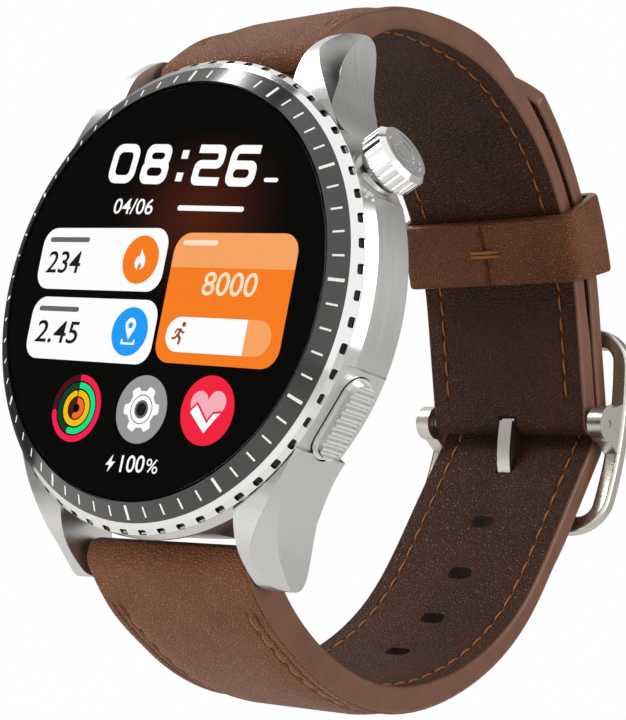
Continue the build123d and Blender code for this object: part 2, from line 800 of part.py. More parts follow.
with BuildPart() as keeper:
    a = radians(keeper_low)
    with BuildSketch(Plane(origin=(0, loop_y, loop_z), x_dir=(1, 0, 0), z_dir=(0, -sin(a), cos(a)))):
        inside_low = short_inner - keeper_gap
        inside_high = long_outer + keeper_gap
        with Locations((0, (inside_low + inside_high) / 2)):
            tall = inside_high - inside_low
            wide = strap_width + 2 * keeper_gap
            RectangleRounded(wide + 2 * keeper_wall, tall + 2 * keeper_wall, 1.4)
            RectangleRounded(wide, tall, 0.3, mode=Mode.SUBTRACT)
    revolve(axis=Axis((0, loop_y, loop_z), (1, 0, 0)), revolution_arc=keeper_span)
save(keeper, "keeper")

# ---- buckle ----
with BuildPart() as buckle_frame:
    # side view of the arched band
    with BuildSketch(Plane.YZ):
        with BuildLine():
            inside = ThreePointArc(*inner_arch)
            outside = ThreePointArc(*outer_arch)
            Line(inside @ 0, outside @ 0)
            Line(inside @ 1, outside @ 1)
        make_face()
    extrude(amount=frame_half, both=True)
    # outside view: a rounded ring
    with BuildSketch(facing(60)):
        with Locations((0, (frame_top + frame_foot) / 2)):
            tall = frame_top - frame_foot
            RectangleRounded(2 * frame_half, tall, frame_corner)
            RectangleRounded(2 * (frame_half - frame_side), tall - 2 * frame_bar, 1.4, mode=Mode.SUBTRACT)
    extrude(amount=20, mode=Mode.INTERSECT)
    fillet(buckle_frame.edges().filter_by(lambda e: e.length > 3), radius=0.4)
    # ears that reach in to the pin
    for side in (1, -1):
        with BuildSketch(Plane.YZ.offset(side * (frame_half - frame_side))):
            with Locations((pin_y, pin_z)):
                Circle(ear_radius)
            with BuildLine():
                Polyline((pin_y + 0.3, pin_z + ear_radius - 0.1), (52.2, pin_z + 3.0),
                         (52.2, pin_z - 3.4), (pin_y + 0.3, pin_z - ear_radius + 0.1), close=True)
            make_face()
        extrude(amount=side * 1.75)
    with BuildSketch(Plane.YZ.offset(-frame_half - 1)):
        with Locations((pin_y, pin_z)):
            Circle(tip_pin + 0.04)
    extrude(amount=2 * frame_half + 2, mode=Mode.SUBTRACT)
save(buckle_frame, "buckle_frame")

with BuildPart() as buckle_pin:
    with BuildSketch(Plane.YZ):
        with Locations((pin_y, pin_z)):
            Circle(pin_radius)
    extrude(amount=frame_half - 2.05, both=True)
    with BuildSketch(Plane.YZ):
        with Locations((pin_y, pin_z)):
            Circle(tip_pin)
    extrude(amount=frame_half - 0.35, both=True)
save(buckle_pin, "buckle_pin")

with BuildPart() as buckle_tongue:
    add(tongue_arm(0, tongue_width / 2))
    with BuildSketch(Plane.YZ):
        with Locations((pin_y, pin_z)):
            Circle(knuckle_radius)
    extrude(amount=tongue_width / 2, both=True)
    with BuildSketch(Plane.YZ):
        with Locations((pin_y, pin_z)):
            Circle(pin_radius + 0.04)
    extrude(amount=tongue_width, both=True, mode=Mode.SUBTRACT)
save(buckle_tongue, "buckle_tongue")
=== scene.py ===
import math

import bmesh
import bpy
import numpy as np
from mathutils import Matrix, Vector


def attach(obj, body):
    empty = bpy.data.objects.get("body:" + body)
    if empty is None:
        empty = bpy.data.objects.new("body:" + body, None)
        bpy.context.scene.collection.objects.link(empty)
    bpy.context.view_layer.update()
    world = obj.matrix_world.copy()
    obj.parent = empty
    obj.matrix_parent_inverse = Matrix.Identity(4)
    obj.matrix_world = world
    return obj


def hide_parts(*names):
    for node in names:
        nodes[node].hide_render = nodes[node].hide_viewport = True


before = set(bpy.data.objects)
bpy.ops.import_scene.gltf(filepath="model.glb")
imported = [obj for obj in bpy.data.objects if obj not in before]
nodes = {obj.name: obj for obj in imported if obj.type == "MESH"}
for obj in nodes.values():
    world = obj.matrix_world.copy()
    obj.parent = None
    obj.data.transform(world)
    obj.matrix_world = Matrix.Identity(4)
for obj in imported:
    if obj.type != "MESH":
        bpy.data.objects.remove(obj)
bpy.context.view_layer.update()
scene = bpy.context.scene
MM = 0.001

# ---- studio ----
# A pale sweep under the watch, plain white all round, and soft boxes whose edges give the
# polished steel its light and dark bands.

def colour(code):
    """An sRGB hex colour as linear RGBA."""
    parts = [int(code[i:i + 2], 16) / 255 for i in (1, 3, 5)]
    return [p / 12.92 if p <= 0.04045 else ((p + 0.055) / 1.055) ** 2.4 for p in parts] + [1.0]


def put(tree, kind, inputs=None, stops=None, **settings):
    """Add a shader node. Inputs, by name or number, are values or the sockets they link from."""
    made = tree.nodes.new("ShaderNode" + kind)
    for name, value in settings.items():
        setattr(made, name, value)
    for key, value in (inputs or {}).items():
        if isinstance(value, bpy.types.NodeSocket):
            tree.links.new(value, made.inputs[key])
        else:
            made.inputs[key].default_value = value
    if stops:
        ramp = made.color_ramp.elements
        ramp[0].position, ramp[0].color = stops[0][0], colour(stops[0][1])
        ramp[1].position, ramp[1].color = stops[-1][0], colour(stops[-1][1])
        for place, code in stops[1:-1]:
            ramp.new(place).color = colour(code)
    return made


azimuth = math.radians(40.4147)
elevation = math.radians(-10.6519)
roll = math.radians(7.6997)
back = Vector((math.sin(azimuth) * math.cos(elevation), -math.cos(azimuth) * math.cos(elevation),
               math.sin(elevation)))
right = Vector((math.cos(azimuth), math.sin(azimuth), 0))
up = back.cross(right)
camera = bpy.data.objects.new("camera", bpy.data.cameras.new("camera"))
scene.collection.objects.link(camera)
camera.data.sensor_width = 36.0
camera.data.lens = 97.04
camera.data.clip_start = 0.01
tilted = Matrix((right * math.cos(roll) + up * math.sin(roll),
                 up * math.cos(roll) - right * math.sin(roll), back)).transposed()
camera.matrix_world = Matrix.Translation((0.12524, -0.13503, -0.03771)) @ tilted.to_4x4()
scene.camera = camera
scene.view_settings.view_transform = "Standard"

world = bpy.data.worlds.new("studio")
scene.world = world
world.use_nodes = True
tree = world.node_tree
tree.nodes.clear()
direction = put(tree, "TexCoord").outputs["Generated"]
light = None
# soft boxes and dark flags: aim, cosine where the box begins and where it is full, brightness
for aim, edge, full, strength in (
    ((-0.35, 0.35, 0.87), 0.76, 0.99, 1.0),
    ((0.65, -0.75, 0.10), 0.23, 0.26, 1.15),
    ((0.95, 0.24, 0.20), 0.86, 0.93, 1.2),
    ((0.45, 0.85, 0.05), 0.55, 1.00, 0.50),
    ((-0.60, -0.15, -0.78), 0.84, 1.00, 0.65),
):
    toward = put(tree, "VectorMath", {0: direction, 1: Vector(aim).normalized()},
                 operation="DOT_PRODUCT").outputs["Value"]
    box = put(tree, "MapRange", {"Value": toward, "From Min": edge, "From Max": full,
                                 "To Min": 0.0, "To Max": strength},
              interpolation_type="SMOOTHSTEP").outputs[0]
    light = box if light is None else put(tree, "Math", {0: light, 1: box}, operation="ADD").outputs[0]
level = put(tree, "Math", {0: light, 1: 0.06}, operation="ADD").outputs[0]
height = put(tree, "SeparateXYZ", {0: direction}).outputs["Z"]
fill = put(tree, "MapRange", {"Value": height, "From Min": -0.6, "From Max": 1.0, "To Min": 0.17,
                              "To Max": 0.62}).outputs[0]
path = put(tree, "LightPath")
amount = put(tree, "Mix", {0: path.outputs["Is Diffuse Ray"], 2: level, 3: fill},
             data_type="FLOAT").outputs[0]
lit = put(tree, "Background", {"Color": colour("#fffdfa"), "Strength": amount})
seen = put(tree, "Background", {"Color": colour("#ffffff"), "Strength": 1.0})
mixed = put(tree, "MixShader", {0: path.outputs["Is Camera Ray"], 1: lit.outputs[0], 2: seen.outputs[0]})
put(tree, "OutputWorld", {"Surface": mixed.outputs[0]})


def softbox(name, place, size, power):
    """Square area light at place, facing the watch."""
    lamp = bpy.data.lights.new(name, "AREA")
    lamp.size = size
    lamp.energy = power
    made = bpy.data.objects.new(name, lamp)
    made.location = place
    made.rotation_euler = (Vector((0, 0.02, 0)) - Vector(place)).to_track_quat("-Z", "Y").to_euler()
    scene.collection.objects.link(made)


softbox("key_light", (-0.30, -0.22, 0.42), 0.25, 2.0)
softbox("rim_light", (0.45, 0.15, 0.25), 0.25, 0.6)
softbox("low_light", (-0.06, -0.32, -0.11), 0.16, 0.7)


def material(name, surface):
    """New material with one Principled shader; surface holds its uniform values."""
    made = bpy.data.materials.new(name)
    made.use_nodes = True
    tree = made.node_tree
    tree.nodes.clear()
    shader = put(tree, "BsdfPrincipled", surface)
    put(tree, "OutputMaterial", {"Surface": shader.outputs[0]})
    return made, tree, shader


def in_mm(tree, scale=(1.0, 1.0, 1.0)):
    """Object coordinates in millimetres, stretched by scale."""
    place = put(tree, "TexCoord").outputs["Object"]
    return put(tree, "Mapping", {"Vector": place, "Scale": [s / MM for s in scale]}).outputs[0]


def as_mesh(name, shape):
    """A bmesh as a mesh of that name; the bmesh is let go."""
    made = bpy.data.meshes.new(name)
    shape.to_mesh(made)
    shape.free()
    return made


def band(bm, near, far, smooth=True):
    """Faces between two rings of vertices, in the order of the ring."""
    faces = []
    for k in range(len(near)):
        ahead = (k + 1) % len(near)
        faces.append(bm.faces.new((near[k], near[ahead], far[ahead], far[k])))
        faces[-1].smooth = smooth
    return faces


def piece(name, mesh, finishes, body):
    """Put a finished mesh in the scene as a piece that rides on a body."""
    for finish in finishes:
        mesh.materials.append(finish)
    made = bpy.data.objects.new(name, mesh)
    scene.collection.objects.link(made)
    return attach(made, body)


floor_mesh = bpy.data.meshes.new("floor")
reach = 0.6
floor_mesh.from_pydata([(-reach, -reach, 0), (reach, -reach, 0), (reach, reach, 0), (-reach, reach, 0)],
                       [], [(0, 1, 2, 3)])
paper, tree, shader = material("matt_paper_sweep", {"Roughness": 0.9})
fibres = put(tree, "TexNoise", {"Vector": in_mm(tree), "Scale": 0.5, "Detail": 3.0}).outputs[0]
tree.links.new(put(tree, "ValToRGB", {0: fibres}, stops=[(0.3, "#f0efed"), (0.7, "#f5f4f2")]).outputs[0],
               shader.inputs["Base Color"])
floor_mesh.materials.append(paper)
floor = bpy.data.objects.new("floor", floor_mesh)
floor.location.z = -0.125
scene.collection.objects.link(floor)


def cover(names, finish):
    """Give CAD nodes one finish."""
    for name in names:
        nodes[name].data.materials.clear()
        nodes[name].data.materials.append(finish)


# ---- mid case and lugs ----
# Forged and turned 316L stainless steel. Its sides and flanks are brushed along the band, and the
# chamfers and bevels are mirror polished, so they take hard-edged bands of light.

def steel(name, tint, polished, brushed, side_limit):
    """Stainless steel, brushed on its flat fronts and flanks, polished on bevels and curves."""
    made, tree, shader = material(name, {"Base Color": colour(tint), "Metallic": 1.0})
    facing = put(tree, "NewGeometry").outputs["Normal"]
    facing = put(tree, "VectorMath", {0: facing}, operation="ABSOLUTE").outputs[0]
    parts = put(tree, "SeparateXYZ", {0: facing}).outputs
    size = put(tree, "Math", {0: parts["X"], 1: parts["Y"]}, operation="MINIMUM").outputs[0]
    side = put(tree, "MapRange", {"Value": size, "From Min": side_limit, "From Max": side_limit + 0.05,
                                  "To Min": 1.0, "To Max": 0.0}).outputs[0]
    # real brush lines are about 0.03 mm apart; drawn at 0.25 mm so that they show
    lines = put(tree, "TexNoise", {"Vector": in_mm(tree, (0.12, 4.0, 0.12)), "Scale": 1.0,
                                   "Detail": 5.0, "Roughness": 0.65}).outputs[0]
    haze = put(tree, "TexNoise", {"Vector": in_mm(tree), "Scale": 0.35, "Detail": 2.0}).outputs[0]
    streaked = put(tree, "MapRange", {"Value": lines, "From Min": 0.3, "From Max": 0.7,
                                      "To Min": brushed - 0.04, "To Max": brushed + 0.05}).outputs[0]
    clean = put(tree, "MapRange", {"Value": haze, "To Min": polished - 0.02,
                                   "To Max": polished + 0.04}).outputs[0]
    rough = put(tree, "Mix", {0: side, 2: clean, 3: streaked}, data_type="FLOAT")
    tree.links.new(rough.outputs[0], shader.inputs["Roughness"])
    depth = put(tree, "Math", {0: side, 1: 0.07}, operation="MULTIPLY").outputs[0]
    grain = put(tree, "Bump", {"Strength": depth, "Distance": 0.02 * MM, "Height": lines})
    tree.links.new(grain.outputs[0], shader.inputs["Normal"])
    return made, tree, shader


case_steel, tree, shader = steel("brushed_and_polished_steel", "#c6c6c5", 0.10, 0.30, 0.10)
cover(["mid_case"], case_steel)

# ---- crown, its stem and tube ----
# Turned and fluted steel, polished bright. The knob turns in its tube and presses in against the
# sensor behind it.
bright_steel, tree, shader = steel("polished_steel", "#dcdcdc", 0.08, 0.14, 0.0)
cover(["crown_knob", "crown_stem", "crown_tube"], bright_steel)

# ---- pusher ----
# One polished steel pill with cross ribs, pressed straight in on two stems.
cover(["pusher"], bright_steel)

# ---- inside the case ----
# Circuit boards in matt solder resist, a pouch cell in aluminium foil, moulded carriers, rubber
# gaskets and small stamped steel parts. All of it is shut in once the back is on.

def plain(name, dark, light, grain, metallic=0.0, roughness=0.5, bump=0.02):
    """A finish mottled between two colours, with a fine surface grain of that size in mm."""
    made, tree, shader = material(name, {"Metallic": metallic})
    mottle = put(tree, "TexNoise", {"Vector": in_mm(tree), "Scale": 1 / grain, "Detail": 4.0}).outputs[0]
    tree.links.new(put(tree, "ValToRGB", {0: mottle}, stops=[(0.3, dark), (0.7, light)]).outputs[0],
                   shader.inputs["Base Color"])
    rough = put(tree, "MapRange", {"Value": mottle, "To Min": roughness - 0.08,
                                   "To Max": roughness + 0.08}).outputs[0]
    tree.links.new(rough, shader.inputs["Roughness"])
    skin = put(tree, "Bump", {"Strength": 0.3, "Distance": bump * MM, "Height": mottle})
    tree.links.new(skin.outputs[0], shader.inputs["Normal"])
    return made


cover(["main_board", "sensor_board", "display_flex", "crown_sensor", "pusher_switch"],
      plain("solder_resist_board", "#0d2a1c", "#16402b", 0.8, roughness=0.4))
cover(["battery"], plain("aluminium_pouch_foil", "#9b9da0", "#c3c5c7", 2.5, metallic=1.0, roughness=0.35))
moulded = plain("moulded_black_polycarbonate", "#141415", "#1e1e20", 0.25, roughness=0.42)
cover(["inner_frame", "speaker", "glass_adhesive", "display_panel"], moulded)
cover(["bezel_gasket", "back_gasket"], plain("silicone_rubber", "#101010", "#1c1c1c", 0.4, roughness=0.7))
stamped = plain("drawn_steel_wire", "#a9a9a8", "#c6c6c5", 0.3, metallic=1.0, roughness=0.28)
cover(["vibration_motor", "bezel_retaining_wire", "crown_clip", "back_screws"], stamped)

# ---- case back ----
# Moulded dark polymer cover with a domed clear window over the heart sensor, four screws and two
# gold-plated charging contacts.
cover(["case_back"], plain("bead_blasted_black_polymer", "#161617", "#212123", 0.12, roughness=0.5))
cover(["charge_contacts"], plain("gold_plate", "#c99a3c", "#e3bd63", 0.5, metallic=1.0, roughness=0.2))
window, tree, shader = material("smoked_polycarbonate_window",
                                {"Base Color": colour("#08080a"), "IOR": 1.58, "Coat Weight": 0.6})
sweep = put(tree, "TexNoise", {"Vector": in_mm(tree), "Scale": 0.3}).outputs[0]
tree.links.new(put(tree, "MapRange", {"Value": sweep, "To Min": 0.05, "To Max": 0.14}).outputs[0],
               shader.inputs["Roughness"])
cover(["skin_window"], window)

# ---- bezel ring and its insert ----
# Polished steel ring with sixty milled grip notches. Pressed into it is a black insert that slopes
# down to the ring, gloss lacquered, with printed white minute marks.
coin_steel, tree, shader = steel("coin_edge_steel", "#dededf", 0.08, 0.12, 0.0)
# how far out a point lies, square to the cone that the notches are milled into
cone_down, cone_out, notch_floor = 0.654, 0.756, 23.3
place = put(tree, "SeparateXYZ", {0: in_mm(tree)}).outputs
radius = put(tree, "Math", {0: place["X"], 1: place["X"]}, operation="MULTIPLY").outputs[0]
radius = put(tree, "Math", {0: place["Z"], 1: place["Z"], 2: radius}, operation="MULTIPLY_ADD").outputs[0]
radius = put(tree, "Math", {0: radius}, operation="SQRT").outputs[0]
fall = put(tree, "Math", {0: place["Y"], 1: -cone_down}, operation="MULTIPLY").outputs[0]
reach_out = put(tree, "Math", {0: radius, 1: cone_out, 2: fall}, operation="MULTIPLY_ADD").outputs[0]
# painted shade: the floors of the notches and the band below them, where they turn away from the front, are
# darkened to a dark grey
sunk = put(tree, "Math", {0: reach_out, 1: notch_floor}, operation="LESS_THAN").outputs[0]
turned = put(tree, "NewGeometry").outputs["True Normal"]
turned = put(tree, "SeparateXYZ", {0: turned}).outputs["Y"]
turned = put(tree, "Math", {0: turned, 1: -0.8}, operation="GREATER_THAN").outputs[0]
notch_shade = put(tree, "Math", {0: sunk, 1: turned}, operation="MULTIPLY").outputs[0]
# painted shade in the notches, mixed into the steel colour
notch_shade_tint = put(tree, "Mix", {0: notch_shade, 6: colour("#dededf"), 7: colour("#2c2c2e")}, data_type="RGBA")
tree.links.new(notch_shade_tint.outputs[2], shader.inputs["Base Color"])
cover(["bezel_ring"], coin_steel)
lacquer, tree, shader = material("black_lacquered_aluminium",
                                 {"Specular IOR Level": 0.6, "Coat Weight": 0.5, "Coat Roughness": 0.1})
mist = put(tree, "TexNoise", {"Vector": in_mm(tree), "Scale": 0.6, "Detail": 3.0}).outputs[0]
tree.links.new(put(tree, "ValToRGB", {0: mist}, stops=[(0.3, "#0b0b0c"), (0.7, "#121213")]).outputs[0],
               shader.inputs["Base Color"])
tree.links.new(put(tree, "MapRange", {"Value": mist, "To Min": 0.12, "To Max": 0.18}).outputs[0],
               shader.inputs["Roughness"])
cover(["bezel_insert"], lacquer)

insert_slope = math.atan2(1.11, 1.71)                           # rise and run of its face
mark_radius, mark_y, mark_height = 20.9, -10.88, 0.03
five_minute_mark, minute_mark = (0.30, 1.45), (0.19, 1.05)      # width and length
marks = bmesh.new()
for minute in range(60):
    mark_wide, mark_long = minute_mark if minute % 5 else five_minute_mark
    turn = Matrix.Rotation(math.radians(6 * minute), 4, "Y")
    lean = Matrix.Rotation(-insert_slope, 4, "X")
    size = Matrix.Diagonal((mark_wide, mark_height, mark_long, 1))
    spot = turn @ Matrix.Translation((0, mark_y, mark_radius)) @ lean @ size
    bmesh.ops.create_cube(marks, size=1.0, matrix=Matrix.Scale(MM, 4) @ spot)
mark_mesh = as_mesh("minute_marks", marks)
piece("minute_marks", mark_mesh,
              [plain("printed_white_ink", "#dededc", "#f2f2f0", 0.1, roughness=0.55)], "bezel")

# ---- cover glass and the display behind it ----
# Flat mineral glass with a small polished chamfer, blacked out round its rim from behind. Right
# behind it the display glows: big figures, cards, round icons and a soft red haze.
glass, tree, shader = material("mineral_glass", {"Base Color": colour("#ffffff"), "IOR": 1.5,
                                                 "Transmission Weight": 1.0})
smear = put(tree, "TexNoise", {"Vector": in_mm(tree), "Scale": 0.08, "Detail": 2.0}).outputs[0]
tree.links.new(put(tree, "MapRange", {"Value": smear, "To Min": 0.0, "To Max": 0.03}).outputs[0],
               shader.inputs["Roughness"])
cover(["display_glass"], glass)

display_y = -10.56         # the display lies just inside the back of the glass
display_step = 0.012       # each layer in front of the one before
display_depth = 0.004
display_radius = 18.4
figure_lean = 0.08         # slope of the figures


def row(degrees, x, z):
    """Frame of one row of the display: turned a little about its own middle, in mm."""
    middle = Matrix.Translation((x * MM, z * MM, 0))
    return middle @ Matrix.Rotation(math.radians(degrees), 4, "Z") @ middle.inverted()


row_frame = row(0, 0, 0)


def lit_surface(name, code, strength=1.0):
    """Lit part of the display; its rows are 0.08 mm apart, drawn at 0.2 mm so that they show."""
    made, tree, shader = material(name, {"Base Color": colour("#020202"), "Roughness": 0.5,
                                         "Specular IOR Level": 0.0, "Emission Strength": strength})
    rows = put(tree, "TexWave", {"Vector": in_mm(tree), "Scale": 1.57}, bands_direction="Z").outputs[1]
    share = put(tree, "MapRange", {"Value": rows, "To Min": 0.97, "To Max": 1.0}).outputs[0]
    glow = put(tree, "Mix", {0: share, 6: colour("#000000"), 7: colour(code)}, data_type="RGBA")
    tree.links.new(glow.outputs[2], shader.inputs["Emission Color"])
    return made


white = lit_surface("lit_white_pixels", "#ffffff", 1.05)
grey = lit_surface("lit_grey_pixels", "#6a6a6a")
ink = lit_surface("dark_grey_pixels", "#1d1d1f")
orange = lit_surface("lit_orange_pixels", "#fd8022")
pale_orange = lit_surface("lit_pale_orange_pixels", "#fda866")
cream = lit_surface("lit_cream_pixels", "#ffe9c9")
blue = lit_surface("lit_blue_pixels", "#21a0ff")
brown = lit_surface("lit_brown_pixels", "#9a4a12")


def figure(shapes, layer, finish):
    """Flat figure from closed outlines in mm, on a layer of the display; inner outlines are holes."""
    curve = bpy.data.curves.new("figure", "CURVE")
    curve.dimensions = "2D"
    curve.fill_mode = "BOTH"
    for outline in shapes:
        spline = curve.splines.new("POLY")
        spline.points.add(len(outline) - 1)
        for point, (x, z) in zip(spline.points, outline):
            point.co = (x * MM, z * MM, 0, 1)
        spline.use_cyclic_u = True
    return on_screen(curve, layer, finish)


def on_screen(curve, layer, finish):
    """Stand a flat curve up on a layer of the display."""
    curve.extrude = display_depth * MM
    curve.materials.append(finish)
    made = bpy.data.objects.new("figure", curve)
    made.matrix_world = (Matrix.Translation((0, (display_y - layer * display_step) * MM, 0))
                         @ Matrix.Rotation(math.radians(90), 4, "X") @ row_frame)
    scene.collection.objects.link(made)
    return made


def figures(text, left, low, width, height, layer, finish):
    """Slanted numerals that fill a box on the display."""
    curve = bpy.data.curves.new("figure", "FONT")
    curve.body = text
    curve.shear = figure_lean
    curve.offset = 0.008
    made = on_screen(curve, layer, finish)
    bpy.context.view_layer.update()
    box = [Vector(c) for c in made.evaluated_get(bpy.context.evaluated_depsgraph_get()).bound_box]
    x0, x1 = min(c.x for c in box), max(c.x for c in box)
    z0, z1 = min(c.y for c in box), max(c.y for c in box)
    across, along = width * MM / (x1 - x0), height * MM / (z1 - z0)
    curve.extrude = display_depth * MM
    made.matrix_world = (made.matrix_world @ Matrix.Translation((left * MM, low * MM, 0))
                         @ Matrix.Diagonal((across, along, 1, 1)) @ Matrix.Translation((-x0, -z0, 0)))
    return made


def merged(name, parts):
    """One piece from several figures, each in its own colour."""
    whole = bmesh.new()
    finishes = []
    bpy.context.view_layer.update()
    graph = bpy.context.evaluated_depsgraph_get()
    for part in parts:
        flat = bpy.data.meshes.new_from_object(part.evaluated_get(graph))
        flat.transform(part.matrix_world)
        finish = part.data.materials[0]
        if finish not in finishes:
            finishes.append(finish)
        for face in flat.polygons:
            face.material_index = finishes.index(finish)
        whole.from_mesh(flat)
    for part in parts:
        bpy.data.objects.remove(part)
    mesh = as_mesh(name, whole)
    return piece(name, mesh, finishes, "case")


def circle(x, z, radius, count=64):
    return [(x + radius * math.cos(2 * math.pi * i / count), z + radius * math.sin(2 * math.pi * i / count))
            for i in range(count)]


def card(x, z, width, height, radius, corners=(1, 1, 1, 1)):
    """Rounded rectangle; corners says which are round, from the upper right, anticlockwise."""
    outline = []
    for k, (sx, sz) in enumerate(((1, 1), (-1, 1), (-1, -1), (1, -1))):
        r = radius * corners[k] + 0.001
        for step in range(9):
            a = math.radians(90 * k + 90 * step / 8)
            outline.append((x + sx * (width / 2 - r) + r * math.cos(a),
                            z + sz * (height / 2 - r) + r * math.sin(a)))
    return outline


def stroke(path, width, outer=0.0, inner=0.0):
    """Outline of an open stroke along a path, its outer and inner corners rounded by those radii."""
    points = np.array(path, float)
    runs = np.diff(points, axis=0)
    runs /= np.linalg.norm(runs, axis=1)[:, None]
    sides = np.stack([-runs[:, 1], runs[:, 0]], 1) * width / 2
    left, right_side = [points[0] + sides[0]], [points[0] - sides[0]]
    turns = [0.0]
    for k in range(1, len(points) - 1):
        mitre = sides[k - 1] + sides[k]
        mitre *= (width / 2) ** 2 / (mitre @ sides[k])
        left.append(points[k] + mitre)
        right_side.append(points[k] - mitre)
        turns.append(float(runs[k - 1][0] * runs[k][1] - runs[k - 1][1] * runs[k][0]))
    left.append(points[-1] + sides[-1])
    right_side.append(points[-1] - sides[-1])
    turns.append(0.0)
    corners = left + right_side[::-1]
    radii = [inner if t > 0.2 else outer if t < -0.2 else 0.0 for t in turns]
    radii += [outer if t > 0.2 else inner if t < -0.2 else 0.0 for t in reversed(turns)]
    outline = []
    for k, radius in enumerate(radii):
        before, corner, after = corners[k - 1], corners[k], corners[(k + 1) % len(corners)]
        if radius == 0:
            outline.append(tuple(corner))
            continue
        start = corner + (before - corner) / np.linalg.norm(before - corner) * radius
        end = corner + (after - corner) / np.linalg.norm(after - corner) * radius
        for t in np.linspace(0, 1, 8):
            outline.append(tuple((1 - t) ** 2 * start + 2 * t * (1 - t) * corner + t * t * end))
    return outline


def placed(outline, x, z, wide=1.0, tall=1.0):
    """An outline drawn about the origin, stretched and set on its place."""
    return [(x + wide * px, z + tall * pz) for px, pz in outline]


def leaning(outline, left, low):
    """Slant an outline and set it on its place."""
    return [(left + x + figure_lean * z, low + z) for x, z in outline]


# the hours and minutes: wide squared figures with a heavy stroke
digit_wide, digit_tall, digit_stroke = 3.6, 3.95, 0.82
inset = digit_stroke / 2
waist = digit_tall * 0.52


def box_band(x0, x1, z0, z1, radius):
    """Closed band of the digit stroke: an outline and its hole."""
    middle = ((x0 + x1) / 2, (z0 + z1) / 2)
    wide, tall = x1 - x0, z1 - z0
    return [card(*middle, wide + digit_stroke, tall + digit_stroke, radius),
            card(*middle, wide - digit_stroke, tall - digit_stroke, radius * 0.45)]


def digit(kind):
    """Outlines of one wide figure, as groups that are filled apart."""
    low, high, near, far = inset, digit_tall - inset, inset, digit_wide - inset
    if kind == "0":
        return [box_band(near, far, low, high, 1.15)]
    if kind == "8":
        return [box_band(near + 0.1, far - 0.1, waist, high, 0.9), box_band(near, far, low, waist, 1.0)]
    if kind == "6":
        top = stroke([(digit_wide - 0.1, high), (near, high), (near, waist - 0.3)], digit_stroke, 1.2, 0.35)
        return [box_band(near, far, low, waist, 0.95), [top]]
    path = [(0.15, high), (far, high), (far, waist), (near, waist), (near, low), (digit_wide, low)]
    return [[stroke(path, digit_stroke, 0.9, 0.3)]]


row_frame = row(-5.6, 0.6, 12.0)
time_low = 10.05
time_parts = []
for kind, left in (("0", -9.35), ("8", -5.0), ("2", 1.9), ("6", 6.25)):
    for group in digit(kind):
        time_parts.append(figure([leaning(o, left, time_low) for o in group], 3, white))
for low in (0.35, 2.55):
    dot = [(0, low), (0.85, low), (0.85, low + 0.85), (0, low + 0.85)]
    time_parts.append(figure([leaning(dot, -0.1, time_low)], 3, white))
# plain bars stand where the half of the day and the day's name are
time_parts.append(figure([card(12.0, 10.75, 1.7, 0.4, 0.2)], 3, white))
merged("screen_time", time_parts)
row_frame = row(-4.9, 0.8, 7.6)
merged("screen_date", [
    figures("04/06", -7.9, 7.1, 5.3, 1.5, 3, white),
    figure([card(4.85, 7.8, 8.4, 0.5, 0.25)], 3, white)])
row_frame = row(0, 0, 0)

# ground of the display: black, with a dim red-brown glow low behind the time
glow_x, glow_z, glow_wide, glow_high = 3.6, 7.0, 11.0, 8.5
ground, tree, shader = material("unlit_pixels_with_glow", {
    "Base Color": colour("#020202"), "Roughness": 0.4, "Specular IOR Level": 0.0, "Emission Strength": 1.0})
offset = put(tree, "Mapping", {"Vector": in_mm(tree, (1 / glow_wide, 0.0, 1 / glow_high)),
                               "Location": (-glow_x / glow_wide, 0, -glow_z / glow_high)}).outputs[0]
far_out = put(tree, "VectorMath", {0: offset}, operation="LENGTH").outputs["Value"]
tree.links.new(put(tree, "ValToRGB", {0: far_out},
                   stops=[(0.0, "#4c1d0c"), (0.4, "#38150a"), (0.75, "#180804"),
                          (1.0, "#010100")]).outputs[0],
               shader.inputs["Emission Color"])
merged("screen_ground", [figure([circle(0, 0, display_radius, 128)], 0, ground)])
rim, tree, shader = material("black_border_print", {"Roughness": 0.6, "Specular IOR Level": 0.0})
speck = put(tree, "TexNoise", {"Vector": in_mm(tree), "Scale": 2.0}).outputs[0]
tree.links.new(put(tree, "ValToRGB", {0: speck}, stops=[(0.3, "#020202"), (0.7, "#060606")]).outputs[0],
               shader.inputs["Base Color"])
merged("glass_border", [figure([circle(0, 0, 19.92, 128), circle(0, 0, display_radius - 0.1, 128)], 1, rim)])

# two white cards at the left, each with a bar for its title, a number and a round badge
card_wide, card_tall, card_round = 17.2, 6.15, 1.75
flame = [(-0.05, 1.35), (0.28, 0.75), (0.62, 0.35), (0.86, -0.2), (0.72, -0.85), (0.2, -1.25),
         (0.3, -0.75), (0.0, -0.3), (-0.3, -0.75), (-0.25, -1.25), (-0.7, -0.95), (-0.9, -0.35),
         (-0.72, 0.2), (-0.45, 0.45), (-0.35, 0.15), (-0.18, 0.6)]
pin = [(0.68 * math.cos(a), 0.45 + 0.72 * math.sin(a)) for a in np.radians(np.linspace(-30, 210, 25))]
pin.append((0, -0.95))
card_x = -8.5
badge_x = card_x + 5.35
for name, z, number, wide, badge in (("screen_energy_card", 3.35, "234", 4.7, orange),
                                     ("screen_distance_card", -3.6, "2.45", 5.9, blue)):
    row_frame = row(-3.6, card_x, z)
    parts = [figure([card(card_x, z, card_wide, card_tall, card_round)], 1, white),
             figure([card(card_x - 4.9, z + 1.9, 5.6, 0.5, 0.25)], 2, grey),
             figures(number, card_x - 7.5, z - 1.45, wide, 2.15, 2, ink),
             figure([circle(badge_x, z, 2.35)], 2, badge)]
    if badge is orange:
        parts.append(figure([placed(flame, badge_x, z, 0.8, 0.8)], 3, white))
    else:
        parts.append(figure([placed(pin, badge_x, z + 0.15), circle(badge_x, z + 0.6, 0.3, 24)], 3, white))
        tray = [(-0.8, -0.75), (-0.8, -1.15), (0.8, -1.15), (0.8, -0.75)]
        parts.append(figure([stroke(placed(tray, badge_x, z), 0.2)], 3, white))
    merged(name, parts)

